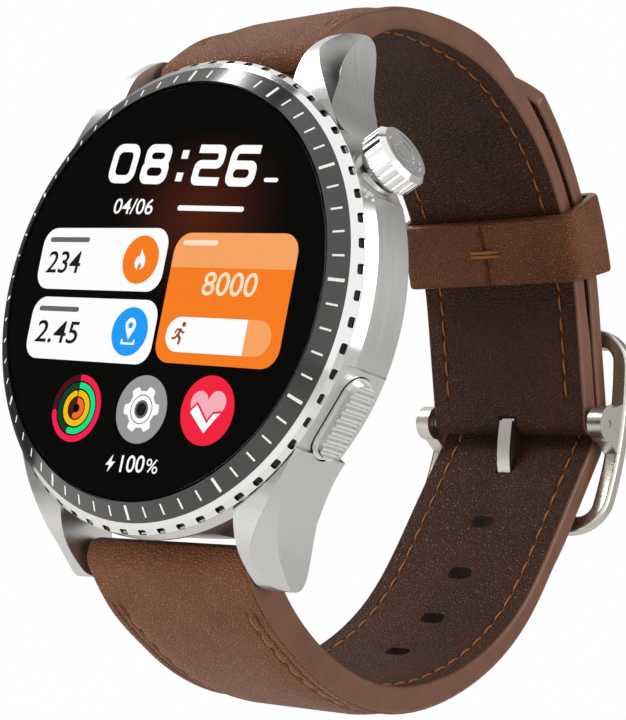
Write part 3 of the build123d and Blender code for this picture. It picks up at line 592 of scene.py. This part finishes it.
# the tall card: a pale band at the top, a number, and a pill filled to four fifths
tall_x, tall_z, tall_wide, tall_high = 8.35, -1.25, 15.2, 12.3
row_frame = row(-3.8, tall_x, tall_z)
band_low = 1.6
band_high = tall_z + tall_high / 2
pill_x, pill_z, pill_wide, pill_high = 8.25, -4.7, 12.85, 3.3
fill_to = 11.6
runner = [stroke([(-0.95, -0.42), (-0.45, -0.35), (-0.05, 0.1)], 0.26),
          stroke([(0.2, 0.65), (-0.1, 0.0), (0.3, -0.4), (0.15, -1.05)], 0.34),
          stroke([(-0.6, 0.15), (-0.35, 0.6), (0.2, 0.62), (0.5, 0.25), (0.8, 0.32)], 0.22)]
merged("screen_steps_card", [
    figure([card(tall_x, tall_z, tall_wide, tall_high, 1.9)], 1, orange),
    figure([card(tall_x, (band_low + band_high) / 2, tall_wide, band_high - band_low, 1.9, (1, 1, 0, 0))], 2,
           pale_orange),
    figure([card(tall_x - 4.4, 3.95, 4.4, 0.5, 0.25)], 3, cream),
    figures("8000", 5.2, -0.95, 6.7, 2.15, 2, cream),
    figure([card(pill_x, pill_z, pill_wide, pill_high, pill_high / 2)], 2, pale_orange),
    figure([card((pill_x - pill_wide / 2 + fill_to) / 2, pill_z, fill_to - pill_x + pill_wide / 2, pill_high,
                 pill_high / 2, (0, 1, 1, 0))], 3, white),
    figure([circle(3.9, pill_z + 0.95, 0.24, 24)], 4, brown),
    *[figure([placed(part, 3.45, pill_z - 0.05, 0.85, 0.85)], 4, brown) for part in runner]])


def arc_band(x, z, radius, width, start, end):
    """Round-ended band along an arc, from one clock angle to another."""
    angles = np.radians(np.linspace(start, end, 40))
    outer, inner = ([(x + r * math.sin(a), z + r * math.cos(a)) for a in angles]
                    for r in (radius + width / 2, radius - width / 2))
    tip = (x + radius * math.sin(angles[-1]), z + radius * math.cos(angles[-1]))
    end_cap = [(tip[0] + width / 2 * math.sin(angles[-1] + t), tip[1] + width / 2 * math.cos(angles[-1] + t))
               for t in np.linspace(0.2, math.pi - 0.2, 8)]
    return outer + end_cap + inner[::-1]


# three round icons: activity rings, a gear and a heart
icon_z, icon_radius = -11.35, 3.2
rings_x, gear_x, heart_x = -8.7, -0.1, 8.1
row_frame = row(-0.8, 0, icon_z)
ring_parts = []
for radius, done, tint, dim in ((2.95, 262, "#ff1f52", "#4a0e1e"), (2.2, 196, "#1be58a", "#0b4428"),
                                (1.45, 344, "#fbc314", "#4a3a06"), (0.72, 190, "#fd6b2b", "#4a1e0a")):
    ring_parts += [
        figure([circle(rings_x, icon_z, radius + 0.3), circle(rings_x, icon_z, radius - 0.3)], 1,
               lit_surface(f"dim_ring_pixels_{dim[1:]}", dim)),
        figure([arc_band(rings_x, icon_z, radius, 0.6, 0, done)], 2,
               lit_surface(f"lit_ring_pixels_{tint[1:]}", tint))]
merged("screen_ring_icon", ring_parts)

gear = []
for i in range(96):
    a = 2 * math.pi * i / 96
    reach_out = 1.72 + 0.5 * (0.5 + 0.5 * math.tanh(6 * math.cos(6 * a)))
    gear.append((gear_x + reach_out * math.cos(a), icon_z + reach_out * math.sin(a)))
merged("screen_gear_icon", [
    figure([circle(gear_x, icon_z, icon_radius)], 1, lit_surface("lit_silver_pixels", "#9c9c9c")),
    figure([gear], 2, white),
    figure([circle(gear_x, icon_z, 1.38), circle(gear_x, icon_z, 1.30)], 3, ink),
    figure([circle(gear_x, icon_z, 0.86)], 3, grey),
    figure([circle(gear_x, icon_z, 0.62)], 4, ink)])

heart = []
heart_size = 0.133
for i in range(72):
    a = 2 * math.pi * i / 72
    heart.append((heart_x + heart_size * 16 * math.sin(a) ** 3, icon_z + 0.2 + heart_size * (
        13 * math.cos(a) - 5 * math.cos(2 * a) - 2 * math.cos(3 * a) - math.cos(4 * a))))
pulse = [(5.95, icon_z - 0.05), (6.85, icon_z + 0.65), (8.25, icon_z - 1.0), (8.9, icon_z - 0.2),
         (10.2, icon_z - 0.1)]
red = lit_surface("lit_red_pixels", "#f8233f")
merged("screen_heart_icon", [
    figure([circle(heart_x, icon_z, icon_radius)], 1, red),
    figure([heart], 2, lit_surface("lit_pink_pixels", "#fbb4bf")),
    figure([[(6.05, icon_z - 0.15), (6.8, icon_z + 0.5), (8.25, icon_z - 1.2), (8.9, icon_z - 0.35),
             (9.7, icon_z - 0.25), (8.05, icon_z - 2.05)]], 3, white),
    figure([stroke(pulse, 0.2)], 4, red)])

bolt = [(0.25, 0.8), (-0.55, -0.15), (-0.1, -0.15), (-0.25, -0.8), (0.55, 0.15), (0.1, 0.15)]
row_frame = row(0, 0, 0)
merged("screen_battery", [
    figure([placed(bolt, -3.05, -16.4, 1.1, 1.05)], 2, white),
    figures("100", -1.75, -17.2, 3.1, 1.55, 2, white),
    *[figure([circle(x, z, 0.34, 24), circle(x, z, 0.19, 24)], 2, white)
      for x, z in ((1.95, -16.25), (2.7, -16.95))],
    figure([stroke([(1.85, -17.15), (2.85, -16.0)], 0.16)], 2, white)])

# ---- spring bars ----
# Drawn stainless tubes with sliding shouldered tips that snap into the lugs. Only their ends show,
# in the narrow gaps beside the strap.
cover(["upper_bar_tube", "lower_bar_tube", "upper_bar_tip_left", "upper_bar_tip_right",
       "lower_bar_tip_left", "lower_bar_tip_right"], stamped)

# ---- strap leather ----
# Calf leather with a fine pebble grain outside and a darker smooth lining, glued over a soft filler,
# stitched in ochre thread and burnished with several coats of edge paint.

def leather(name, crease_shade, dark, light, cell, relief, rough):
    """Grained leather: soft pebbles of that cell size in mm, with painted shade darkening the creases between
    them.
    """
    made, tree, shader = material(name, {"Specular IOR Level": 0.25})
    place = in_mm(tree)
    wander = put(tree, "TexNoise", {"Vector": place, "Scale": 0.8 / cell, "Detail": 2.0}).outputs[1]
    moved = put(tree, "VectorMath", {0: wander, 1: (0.6 * cell,) * 3, 2: place},
                operation="MULTIPLY_ADD").outputs[0]
    pebble = put(tree, "TexVoronoi", {"Vector": moved, "Scale": 1 / cell},
                 feature="DISTANCE_TO_EDGE").outputs[0]
    crown = put(tree, "MapRange", {"Value": pebble, "From Min": 0.0, "From Max": 0.32},
                interpolation_type="SMOOTHSTEP").outputs[0]
    patches = put(tree, "TexNoise", {"Vector": place, "Scale": 0.12, "Detail": 4.0}).outputs[0]
    skin = put(tree, "ValToRGB", {0: patches}, stops=[(0.32, dark), (0.68, light)]).outputs[0]
    # painted shade: towards the pebble edges the colour turns to the crease colour
    shade = put(tree, "MapRange", {"Value": crown, "To Min": 0.45, "To Max": 1.0}).outputs[0]
    tone = put(tree, "Mix", {0: shade, 6: colour(crease_shade), 7: skin}, data_type="RGBA").outputs[2]
    tree.links.new(tone, shader.inputs["Base Color"])
    sheen = put(tree, "MapRange", {"Value": crown, "To Min": rough + 0.15, "To Max": rough}).outputs[0]
    tree.links.new(sheen, shader.inputs["Roughness"])
    pores = put(tree, "TexNoise", {"Vector": place, "Scale": 5.0, "Detail": 3.0}).outputs[0]
    height = put(tree, "Math", {0: pores, 1: 0.25, 2: crown}, operation="MULTIPLY_ADD").outputs[0]
    bump = put(tree, "Bump", {"Strength": 1.0, "Distance": relief * MM, "Height": height})
    tree.links.new(bump.outputs[0], shader.inputs["Normal"])
    return made


# the first colour of each leather is the painted shade in the creases of its grain
outer_leather = leather("pebbled_calf_leather", "#4a2412", "#774328", "#8a5634", 0.34, 0.14, 0.42)
lining = leather("smooth_lining_leather", "#1e0e06", "#482613", "#5a321b", 0.40, 0.20, 0.48)
seam_crease = plain("burnt_in_crease", "#2a140a", "#3b1e10", 0.5, roughness=0.6)
edge_paint = plain("burnished_edge_paint", "#603722", "#70452c", 3.0, roughness=0.38, bump=0.03)
thread = plain("waxed_ochre_thread", "#84480f", "#a8641c", 0.12, roughness=0.5, bump=0.05)
hole_edge = plain("raw_leather_core", "#1d0f08", "#2f1a10", 0.3, roughness=0.8)
strap_finishes = [outer_leather, edge_paint, lining, seam_crease]

bar_y, bar_z = -3.4, 24.3
strap_half = 10.4
wrap_radius = 1.9
loop_y, loop_z = 12.4, 0.85
short_inner, short_outer = 33.05, 35.7
long_inner, long_outer = 35.95, 38.1
arc_low, arc_high, tip_angle = 19.0, 48.0, 67.0
pin_y, pin_z = 49.15, -0.3
down_line = (math.sin(math.radians(arc_low)), -math.cos(math.radians(arc_low)))
rise_line = (0.447, 0.894)
rise_start = (46.0, -10.3)
rise_thick = 2.4


def on_arc(radius, degrees_up):
    a = math.radians(degrees_up)
    return (loop_y + radius * math.cos(a), loop_z + radius * math.sin(a))


def bend_through(points, start, end, steps):
    """Smooth curve through points with set end directions, as steps points for each span."""
    p = np.array(points, float)
    h = np.linalg.norm(np.diff(p, axis=0), axis=1)
    count = len(p)
    rows, sums = np.eye(count), np.zeros((count, 2))
    sums[0], sums[-1] = np.array(start) / np.linalg.norm(start), np.array(end) / np.linalg.norm(end)
    for i in range(1, count - 1):
        rows[i, i - 1:i + 2] = h[i], 2 * (h[i - 1] + h[i]), h[i - 1]
        sums[i] = 3 * (h[i] / h[i - 1] * (p[i] - p[i - 1]) + h[i - 1] / h[i] * (p[i + 1] - p[i]))
    slope = np.linalg.solve(rows, sums)
    out = []
    for i in range(count - 1):
        for t in np.arange(steps) / steps:
            out.append((2 * t ** 3 - 3 * t ** 2 + 1) * p[i] + (t ** 3 - 2 * t ** 2 + t) * h[i] * slope[i]
                       + (3 * t ** 2 - 2 * t ** 3) * p[i + 1] + (t ** 3 - t ** 2) * h[i] * slope[i + 1])
    return out + [p[-1]]


def arc_points(radius, start, end, count):
    return [np.array(on_arc(radius, a)) for a in np.linspace(start, end, count + 1)[1:]]


def line_points(start, end, count):
    return [np.array(start) + (np.array(end) - start) * t for t in np.linspace(0, 1, count + 1)[1:]]


def run_along(points):
    """Distance along a path, at each of its points."""
    return np.concatenate([[0], np.cumsum(np.linalg.norm(np.diff(points, axis=0), axis=1))])


def mix(outer, inner, share):
    return tuple(i + share * (o - i) for o, i in zip(outer, inner))


short_stations = [
    ((-4.83, 25.55), (-1.84, 23.2)), ((3.0, 32.1), (5.1, 30.1)), ((13.0, 35.1), (13.2, 31.9)),
    (on_arc(short_outer, 75), on_arc(32.1, 75)), (on_arc(short_outer, 61), on_arc(32.7, 61)),
    (on_arc(short_outer, arc_high), on_arc(short_inner, arc_high)),
]
long_stations = [
    ((-4.83, -25.55), (-1.84, -23.2)), ((5.8, -33.4), (7.3, -30.4)), ((17.5, -35.9), (17.5, -32.7)),
    ((29.2, -33.2), (27.9, -30.5)), ((41.0, -24.4), (39.1, -22.5)),
    ((rise_start[0] + rise_thick * rise_line[1], rise_start[1] - rise_thick * rise_line[0]), rise_start),
]


def short_face(share):
    """Points (y, z) along one face of the short strap, from the spring bar to the buckle pin."""
    radius = short_inner + share * (short_outer - short_inner)
    a = math.radians(arc_high)
    points = bend_through([mix(o, i, share) for o, i in short_stations],
                          mix((0.66, 0.75), (0.57, 0.82), share), (math.sin(a), -math.cos(a)), 18)
    points += arc_points(radius, arc_high, arc_low, 24)
    middle = (short_inner + short_outer) / 2
    reach_down = (pin_z - on_arc(middle, arc_low)[1]) / down_line[1]
    foot = [p + reach_down * d for p, d in zip(on_arc(radius, arc_low), down_line)]
    return np.array(points + line_points(points[-1], foot, 14))


def long_face(share):
    """Points (y, z) along one face of the long strap, from the spring bar to its tip."""
    radius = long_inner + share * (long_outer - long_inner)
    points = bend_through([mix(o, i, share) for o, i in long_stations],
                          mix((0.66, -0.75), (0.57, -0.82), share), rise_line, 24)
    y1, z1 = on_arc(radius, arc_low)
    y2, z2 = points[-1]
    t = ((y2 - y1) * rise_line[1] - (z2 - z1) * rise_line[0]) / (
        down_line[0] * rise_line[1] - down_line[1] * rise_line[0])
    corner = np.array((y1 + t * down_line[0], z1 + t * down_line[1]))
    rise, drop = np.array(rise_line) / np.linalg.norm(rise_line), np.array(down_line)
    half_turn = math.acos(max(-1, min(1, float(-rise @ drop)))) / 2
    fillet = 4.5 + share * 2.3
    back_off = fillet * math.tan(half_turn)
    begin, end = corner - rise * back_off, corner - drop * back_off
    side = -np.array((-rise[1], rise[0])) if np.cross(rise, -drop) < 0 else np.array((-rise[1], rise[0]))
    centre = begin + side * fillet
    points += line_points(points[-1], begin, 14)
    a0 = math.atan2(*(begin - centre)[::-1])
    a1 = math.atan2(*(end - centre)[::-1])
    a1 += 2 * math.pi * round((a0 - a1) / (2 * math.pi))
    points += [centre + fillet * np.array((math.cos(a), math.sin(a))) for a in np.linspace(a0, a1, 15)[1:]]
    points += line_points(end, (y1, z1), 14)
    points += arc_points(radius, arc_low, tip_angle - 12, 50)
    return np.array(points + arc_points(radius, tip_angle - 12, tip_angle, 40))


def nose(outer, inner, centre, radius, toward, count):
    """Pairs of points that carry both faces round an end, to where they meet."""
    centre = np.array(centre)
    a_far = math.atan2(toward[1], toward[0])
    pairs = []
    for share in np.sin(np.linspace(0, 1, count + 1)[1:] * math.pi / 2):
        both = []
        for point in (outer, inner):
            a = math.atan2(*(point - centre)[::-1])
            a += 2 * math.pi * round((a_far - a) / (2 * math.pi))
            angle = a + (a_far - a) * share
            both.append(centre + radius * np.array((math.cos(angle), math.sin(angle))))
        pairs.append(both)
    return pairs


crease_inset, stitch_inset = 1.3, 2.3
# columns of the strap's skin, in from its edge, close together where there is a groove
columns = [0.0, 0.06, 0.16, 0.26, 0.36, 0.5, 0.7, 0.95, 1.12, 1.22, 1.3, 1.38, 1.48, 1.65, 1.85, 2.02,
           2.14, 2.24, 2.36, 2.48, 2.62, 2.8, 3.05, 3.4, 3.9, 4.6, 5.5, 6.5, 7.4, 8.1, 8.6, 9.0, 9.35, 9.7,
           10.05]


def ramp(value, low, high):
    t = np.clip((value - low) / (high - low), 0, 1)
    return t * t * (3 - 2 * t)


def rounding(edge, radius):
    """Depth of a rounded corner, at a distance in from the edge."""
    return radius - math.sqrt(max(0.0, radius ** 2 - (radius - edge) ** 2)) if edge < radius else 0.0


class Strap:
    """One strap half: its faces, its outline in plan, and its relief."""

    def __init__(self, outer, inner, tip_radius, soft, seam):
        self.outer, self.inner = outer, inner
        self.along = run_along((outer + inner) / 2)
        self.length = self.along[-1]
        self.tip_radius = tip_radius
        self.soft, self.seam = soft, seam         # where the pad and the seams begin and end
        self.holes = []

    def half_width(self, along):
        if self.tip_radius is None:
            return strap_half
        back_from_tip = self.length - along
        if back_from_tip >= self.tip_radius:
            return strap_half
        across = self.tip_radius ** 2 - (self.tip_radius - back_from_tip) ** 2
        return min(strap_half, math.sqrt(max(1e-4, across)))

    def inset(self, along, x):
        """Distance in from the cut edge, at a point of the strap laid flat."""
        edge = strap_half - abs(x)
        if self.tip_radius is not None and self.length - along < self.tip_radius:
            centre = self.length - self.tip_radius
            edge = min(edge, self.tip_radius - math.hypot(x, along - centre))
        return max(edge, 0.0)

    def relief(self, along, x, outside):
        """Height above (outside) or depth below the plain face, in mm."""
        edge = self.inset(along, x)
        lift = -rounding(edge, 0.55 if outside else 0.35)
        start, stop = self.seam
        sewn = ramp(along, start - 0.3, start + 0.5) * (1 - ramp(along, stop, stop + 0.6))
        if outside:
            start, stop = self.soft
            soft = ramp(along, start, start + 7) * (1 - ramp(along, stop - 6, stop))
            lift -= 0.42 * soft * (1 - ramp(edge, 1.9, 4.6))
            lift -= 0.24 * sewn * math.exp(-((edge - crease_inset) / 0.13) ** 2)
            lift -= 0.30 * sewn * math.exp(-((edge - stitch_inset) / 0.18) ** 2)
            lift -= 0.08 * math.exp(-((edge - 0.26) / 0.07) ** 2)
        else:
            lift -= 0.16 * sewn * math.exp(-((edge - stitch_inset) / 0.22) ** 2)
        for place in self.holes:
            off = math.hypot(max(abs(x) - 1.0, 0), max(abs(along - place) - 0.3, 0)) - 0.75
            lift -= 0.16 * math.exp(-(max(off, 0) / 0.45) ** 2)
        return lift

    def place(self, along, x, outside, height=0.0):
        """Point in mm on a face, at a distance along the strap."""
        y_o, z_o = (np.interp(along, self.along, self.outer[:, k]) for k in (0, 1))
        y_i, z_i = (np.interp(along, self.along, self.inner[:, k]) for k in (0, 1))
        n = np.array((y_o - y_i, z_o - z_i))
        n /= np.linalg.norm(n)
        base = np.array((y_o, z_o)) if outside else np.array((y_i, z_i))
        sign = 1 if outside else -1
        y, z = base + sign * n * (self.relief(along, x, outside) + height)
        return Vector((x, y, z)), Vector((0, sign * n[0], sign * n[1]))

    def mesh(self, name, far_centre, far_toward, far_radius):
        """Closed skin of the strap: outer face, painted edges and lining."""
        bm = bmesh.new()
        rows = []
        stations = [(o, i, a) for o, i, a in zip(self.outer, self.inner, self.along)]
        bar_centre = np.array((bar_y, math.copysign(bar_z, self.outer[0][1])))
        bar_toward = (-0.62, -math.copysign(0.785, self.outer[0][1]))
        ends = nose(self.outer[0], self.inner[0], bar_centre, wrap_radius, bar_toward, 9)
        stations = [(o, i, 0.0) for o, i in ends[::-1]] + stations
        if far_centre is not None:
            stations += [(o, i, self.length) for o, i in
                         nose(self.outer[-1], self.inner[-1], far_centre, far_radius, far_toward, 9)]
        for outer, inner, along in stations:
            thick = np.linalg.norm(outer - inner)
            n = (outer - inner) / thick if thick > 1e-6 else np.zeros(2)
            fade = min(1.0, thick / 1.2)
            half = self.half_width(along)
            xs = [half * (1 - c / strap_half) for c in columns]
            xs = xs + [0.0] + [-x for x in reversed(xs)]
            row = []
            for base, sign in ((outer, 1), (inner, -1)):
                for x in xs[::sign]:
                    y, z = base + sign * n * (self.relief(along, x, sign > 0) * fade)
                    row.append(bm.verts.new(Vector((x, y, z)) * MM))
            rows.append(row)
        across = len(columns) * 2 + 1
        painted = 3                       # columns of the edge that carry paint
        grooves = [columns.index(crease_inset), columns.index(2.24)]
        for near, far, along in zip(rows, rows[1:], [a for o, i, a in stations]):
            sewn = self.seam[0] < along < min(self.seam[1], self.length - (self.tip_radius or 0))
            for k, face in enumerate(band(bm, near, far)):
                column = k if k < across else k - across
                from_edge = min(column, across - 2 - column)
                if sewn and (from_edge == grooves[1] or (k < across and from_edge == grooves[0])):
                    face.material_index = 3
                elif k in (across - 1, len(near) - 1) or not painted <= column < across - 1 - painted:
                    face.material_index = 1
                elif k >= across:
                    face.material_index = 2
        for row in (rows[0], rows[-1]):
            cap = bm.faces.new(row)
            cap.material_index = 1
        bmesh.ops.remove_doubles(bm, verts=bm.verts, dist=0.004 * MM)
        bmesh.ops.dissolve_degenerate(bm, edges=bm.edges, dist=0.002 * MM)
        bmesh.ops.recalc_face_normals(bm, faces=bm.faces)
        return as_mesh(name, bm)


def prism(bm, outline, u, v, centre, depth):
    """Closed block over an outline drawn along the directions u and v, both ways from a centre."""
    u, v, centre = Vector(u), Vector(v), Vector(centre)
    w = u.cross(v)
    near, far = ([bm.verts.new((centre + u * a + v * b + w * side) * MM) for a, b in outline]
                 for side in (-depth, depth))
    band(bm, near, far, smooth=False)
    bm.faces.new(near[::-1])
    bm.faces.new(far)


def punched(mesh, finishes, blocks):
    """The mesh with the blocks cut out of it; the new walls are raw leather."""
    bmesh.ops.recalc_face_normals(blocks, faces=blocks.faces)
    tool_mesh = as_mesh("punch", blocks)
    tool_mesh.materials.append(hole_edge)
    for finish in finishes:
        mesh.materials.append(finish)
    pair = [bpy.data.objects.new("punch", m) for m in (mesh, tool_mesh)]
    for item in pair:
        scene.collection.objects.link(item)
    cut = pair[0].modifiers.new("punch", "BOOLEAN")
    cut.operation, cut.solver, cut.material_mode, cut.object = "DIFFERENCE", "EXACT", "TRANSFER", pair[1]
    bpy.context.view_layer.update()
    made = bpy.data.meshes.new_from_object(pair[0].evaluated_get(bpy.context.evaluated_depsgraph_get()))
    made.name = mesh.name
    for item in pair:
        bpy.data.objects.remove(item)
    bm = bmesh.new()
    bm.from_mesh(made)
    for edge in bm.edges:
        if edge.is_manifold and edge.calc_face_angle() > math.radians(45):
            edge.smooth = False
    bm.to_mesh(made)
    bm.free()
    return made


stitch_pitch, stitch_length, thread_radius = 2.4, 1.95, 0.13
seam_x = strap_half - stitch_inset


def thread_skin(bm, rings):
    """Closed skin over the rings of one thread."""
    for near, far in zip(rings, rings[1:]):
        band(bm, near, far)
    bm.faces.new(rings[0][::-1])
    bm.faces.new(rings[-1])


def sew(bm, strap, path, outside):
    """Stitches along a path of (along, x) points on a face, each dipping at both ends."""
    points = np.array(path, float)
    run = run_along(points)
    for number in range(int(run[-1] / stitch_pitch)):
        middle = (number + 0.5) * stitch_pitch
        rings = []
        for step in range(7):
            t = step / 3 - 1
            at = middle + t * stitch_length / 2
            along, x = np.interp(at, run, points[:, 0]), np.interp(at, run, points[:, 1])
            ahead = np.array([np.interp(at + 0.05, run, points[:, k]) for k in (0, 1)]) - (along, x)
            ahead /= max(np.linalg.norm(ahead), 1e-9)
            slant = 0.05 * t
            along, x = along - ahead[1] * slant, x + ahead[0] * slant
            height = 0.20 * math.sqrt(max(0.0, 1 - t * t)) - 0.10
            spot, up_side = strap.place(along, x, outside, height + thread_radius * 0.4)
            next_spot, _ = strap.place(along + ahead[0] * 0.05, x + ahead[1] * 0.05, outside, height)
            forward = (next_spot - strap.place(along, x, outside, height)[0]).normalized()
            sideways = forward.cross(up_side).normalized()
            thin = thread_radius * (0.55 + 0.45 * math.sqrt(max(0.0, 1 - t * t)))
            rings.append([bm.verts.new((spot + thin * (math.cos(a) * sideways + math.sin(a) * up_side)) * MM)
                          for a in np.linspace(0, 2 * math.pi, 9)[:-1]])
        thread_skin(bm, rings)


# ---- short strap ----
# The 12 o'clock half, folded round its spring bar at one end and round the buckle pin at the other,
# with a slot for the tongue.
short = Strap(short_face(1.0), short_face(0.0), None, (4.0, 66.0), (3.6, 72.0))
short_mesh = short.mesh("short_strap", (pin_y, pin_z), down_line, (short_outer - short_inner) / 2)
slot_round, slot_half, slot_reach = 1.65, 1.15, 6.0
slot = [(pin_y + slot_round * math.cos(a), pin_z + slot_round * math.sin(a))
        for a in np.linspace(0, math.pi, 17)]
slot += [(pin_y - slot_reach / 2, pin_z), (pin_y - slot_reach / 2, pin_z - slot_reach),
         (pin_y + slot_reach / 2, pin_z - slot_reach), (pin_y + slot_reach / 2, pin_z)]
blocks = bmesh.new()
prism(blocks, slot, (0, 1, 0), (0, 0, 1), (0, 0, 0), slot_half)
short_strap = piece("short_strap", punched(short_mesh, strap_finishes, blocks), [], "case")
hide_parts("short_strap_leather", "short_strap_lining", "short_strap_padding")

# ---- long strap ----
# The 6 o'clock half, with the row of holes. It passes under the buckle frame, over the pin and
# through the keeper, and ends in a round tip.
whole_length = 999.0       # the seam runs on round the tip
long = Strap(long_face(1.0), long_face(0.0), 12.2, (4.0, 62.0), (3.6, whole_length))
centre_line = (long.outer + long.inner) / 2
hole_centres = [(45.8, -13.1), (42.3, -19.2), (38.4, -25.1), (32.7, -29.9)]
hole_centres += [on_arc((long_inner + long_outer) / 2, a) for a in (20.0, 31.0)]
for middle in hole_centres:
    nearest = np.argmin(np.linalg.norm(centre_line - middle, axis=1))
    long.holes.append(float(long.along[nearest]))
long_mesh = long.mesh("long_strap", None, None, 0)
hole_wide, hole_tall, hole_round, hole_deep = 3.0, 1.6, 0.7, 4.0
blocks = bmesh.new()
for along in long.holes:
    middle, normal = long.place(along, 0.0, True)
    prism(blocks, card(0, 0, hole_wide, hole_tall, hole_round), (1, 0, 0), Vector((1, 0, 0)).cross(normal),
          middle, hole_deep)
tongue_points = [(47.95, -0.3), (48.1, -3.6), (49.05, -6.6), (50.9, -8.9), (51.85, -11.0), (51.2, -13.3)]
tongue_line = bend_through(tongue_points, (0, -1), (-0.5, -1), 8)
tongue_thick, tongue_play = 1.1, 0.3
prism(blocks, stroke(tongue_line, tongue_thick + 2 * tongue_play), (0, 1, 0), (0, 0, 1), (0, 0, 0), slot_half)
long_strap = piece("long_strap", punched(long_mesh, strap_finishes, blocks), [], "case")
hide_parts("long_strap_leather", "long_strap_lining", "long_strap_padding")

# ---- stitching ----
# Waxed polyester thread, sewn saddle fashion; every stitch lies in its groove and dips into a
# needle hole at each end.
bm = bmesh.new()
seam_start, seam_stop = 4.0, 72.0
for side in (1, -1):
    line = [(seam_start, side * seam_x), (seam_stop, side * seam_x)]
    for outside in (True, False):
        sew(bm, short, line, outside)
short_thread = as_mesh("short_strap_stitching", bm)
piece("short_strap_stitching", short_thread, [thread], "case")

bm = bmesh.new()
tip_seam = long.tip_radius - stitch_inset
tip_centre = long.length - long.tip_radius
turn_from = math.asin(seam_x / tip_seam)
around = [(tip_centre + tip_seam * math.cos(a), tip_seam * math.sin(a))
          for a in np.linspace(turn_from, -turn_from, 60)]
seam_path = [(seam_start, seam_x)] + around + [(seam_start, -seam_x)]
for outside in (True, False):
    sew(bm, long, seam_path, outside)
long_thread = as_mesh("long_strap_stitching", bm)
piece("long_strap_stitching", long_thread, [thread], "case")

# ---- keeper ----
# A strip of the same leather folded into a loop; its ends meet on the inside and are held by one
# doubled stitch. It slides along the strap over the free end.
keeper_low, keeper_high = 24.6, 38.0
keeper_wall, keeper_gap = 1.2, 0.28
inside_low, inside_high = short_inner - keeper_gap, long_outer + keeper_gap
keeper_wide = strap_half + keeper_gap
mean_radius = (inside_low + inside_high) / 2
loop_corner, loop_step = 0.2, 0.8


def loop_path(grow):
    """Rounded rectangle (x, radius) round the straps, from the joint, with outward normals."""
    half_x, half_r = keeper_wide + grow, (inside_high - inside_low) / 2 + grow
    corner = loop_corner + grow
    points = []
    corners = [(1, -1, -90), (1, 1, 0), (-1, 1, 90), (-1, -1, 180)]
    path = [(0.02, -half_r)]
    for sx, sr, start in corners:
        for step in range(9):
            a = math.radians(start + 90 * step / 8)
            path.append((sx * (half_x - corner) + corner * math.cos(a),
                         sr * (half_r - corner) + corner * math.sin(a)))
    path.append((-0.02, -half_r))
    for (x0, r0), (x1, r1) in zip(path, path[1:]):
        parts = max(1, round(math.hypot(x1 - x0, r1 - r0) / loop_step))
        points += [(x0 + (x1 - x0) * t / parts, r0 + (r1 - r0) * t / parts) for t in range(parts)]
    return points + [path[-1]]


loop_share = np.linspace(0, 1, 150)


def resample(path):
    """The path as points at even shares of its length."""
    path = np.array(path)
    run = run_along(path)
    return np.stack([np.interp(loop_share * run[-1], run, path[:, k]) for k in (0, 1)], 1)


outer_loop, inner_loop = resample(loop_path(keeper_wall)), resample(loop_path(0.0))
band_columns = [0.0, 0.05, 0.14, 0.28, 0.5, 0.9, 1.8, 3.0]
band_length = math.radians(keeper_high - keeper_low) * mean_radius
loop_length = 60
cross_steps = band_columns + [band_length / 2] + [band_length - c for c in reversed(band_columns)]


def keeper_lift(across, loop_place):
    """Rounding of the cut edges, and of the two ends at the joint."""
    from_joint = min(loop_place, 1 - loop_place) * loop_length
    return -rounding(min(across, band_length - across), 0.4) - rounding(from_joint, 0.25)


bm = bmesh.new()
rows = []
for outer, inner, share in zip(outer_loop, inner_loop, loop_share):
    n = (outer - inner) / np.linalg.norm(outer - inner)
    row = []
    for face_base, sign in ((outer, 1), (inner, -1)):
        for across in cross_steps[::sign]:
            lift = keeper_lift(across, share) * (1.0 if sign > 0 else 0.5)
            x, r = face_base + sign * n * lift
            a = math.radians(keeper_low) + across / mean_radius
            radius = mean_radius + r
            spot = Vector((x, loop_y + radius * math.cos(a), loop_z + radius * math.sin(a)))
            row.append(bm.verts.new(spot * MM))
    rows.append(row)
wide = len(cross_steps)
for near, far in zip(rows, rows[1:]):
    for k, face in enumerate(band(bm, near, far)):
        if k in (0, wide - 2, wide - 1, 2 * wide - 1):
            face.material_index = 1
        elif k >= wide:
            face.material_index = 2
for row in (rows[0], rows[-1]):
    bm.faces.new(row).material_index = 1
bmesh.ops.recalc_face_normals(bm, faces=bm.faces)
keeper_mesh = as_mesh("strap_keeper", bm)
keeper = piece("strap_keeper", keeper_mesh, [outer_leather, edge_paint, lining], "keeper")
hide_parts("keeper")

bm = bmesh.new()
mid_angle = math.radians((keeper_low + keeper_high) / 2)
face_radius = inside_low - keeper_wall
for across in (-0.26, 0.26):
    rings = []
    for step in range(9):
        t = step / 4 - 1
        a = mid_angle + across / mean_radius
        radius = face_radius - 0.16 * math.sqrt(max(0.0, 1 - t ** 4)) + 0.05
        centre = Vector((1.9 * t, loop_y + radius * math.cos(a), loop_z + radius * math.sin(a)))
        out, along = Vector((0, math.cos(a), math.sin(a))), Vector((0, -math.sin(a), math.cos(a)))
        thin = 0.22 * (0.6 + 0.4 * math.sqrt(max(0.0, 1 - t ** 4)))
        rings.append([bm.verts.new((centre + thin * (math.cos(b) * out + math.sin(b) * along)) * MM)
                      for b in np.linspace(0, 2 * math.pi, 9)[:-1]])
    thread_skin(bm, rings)
bmesh.ops.recalc_face_normals(bm, faces=bm.faces)
keeper_thread = as_mesh("keeper_stitch", bm)
piece("keeper_stitch", keeper_thread, [thread], "keeper")

# ---- buckle ----
# Cast stainless frame, pin and tongue, satin finished with a fine belt grain that leaves the steel
# a warm grey.
satin, tree, shader = steel("satin_belt_finished_steel", "#c4c1b8", 0.22, 0.28, 0.5)
cover(["buckle_frame", "buckle_pin", "buckle_tongue"], satin)
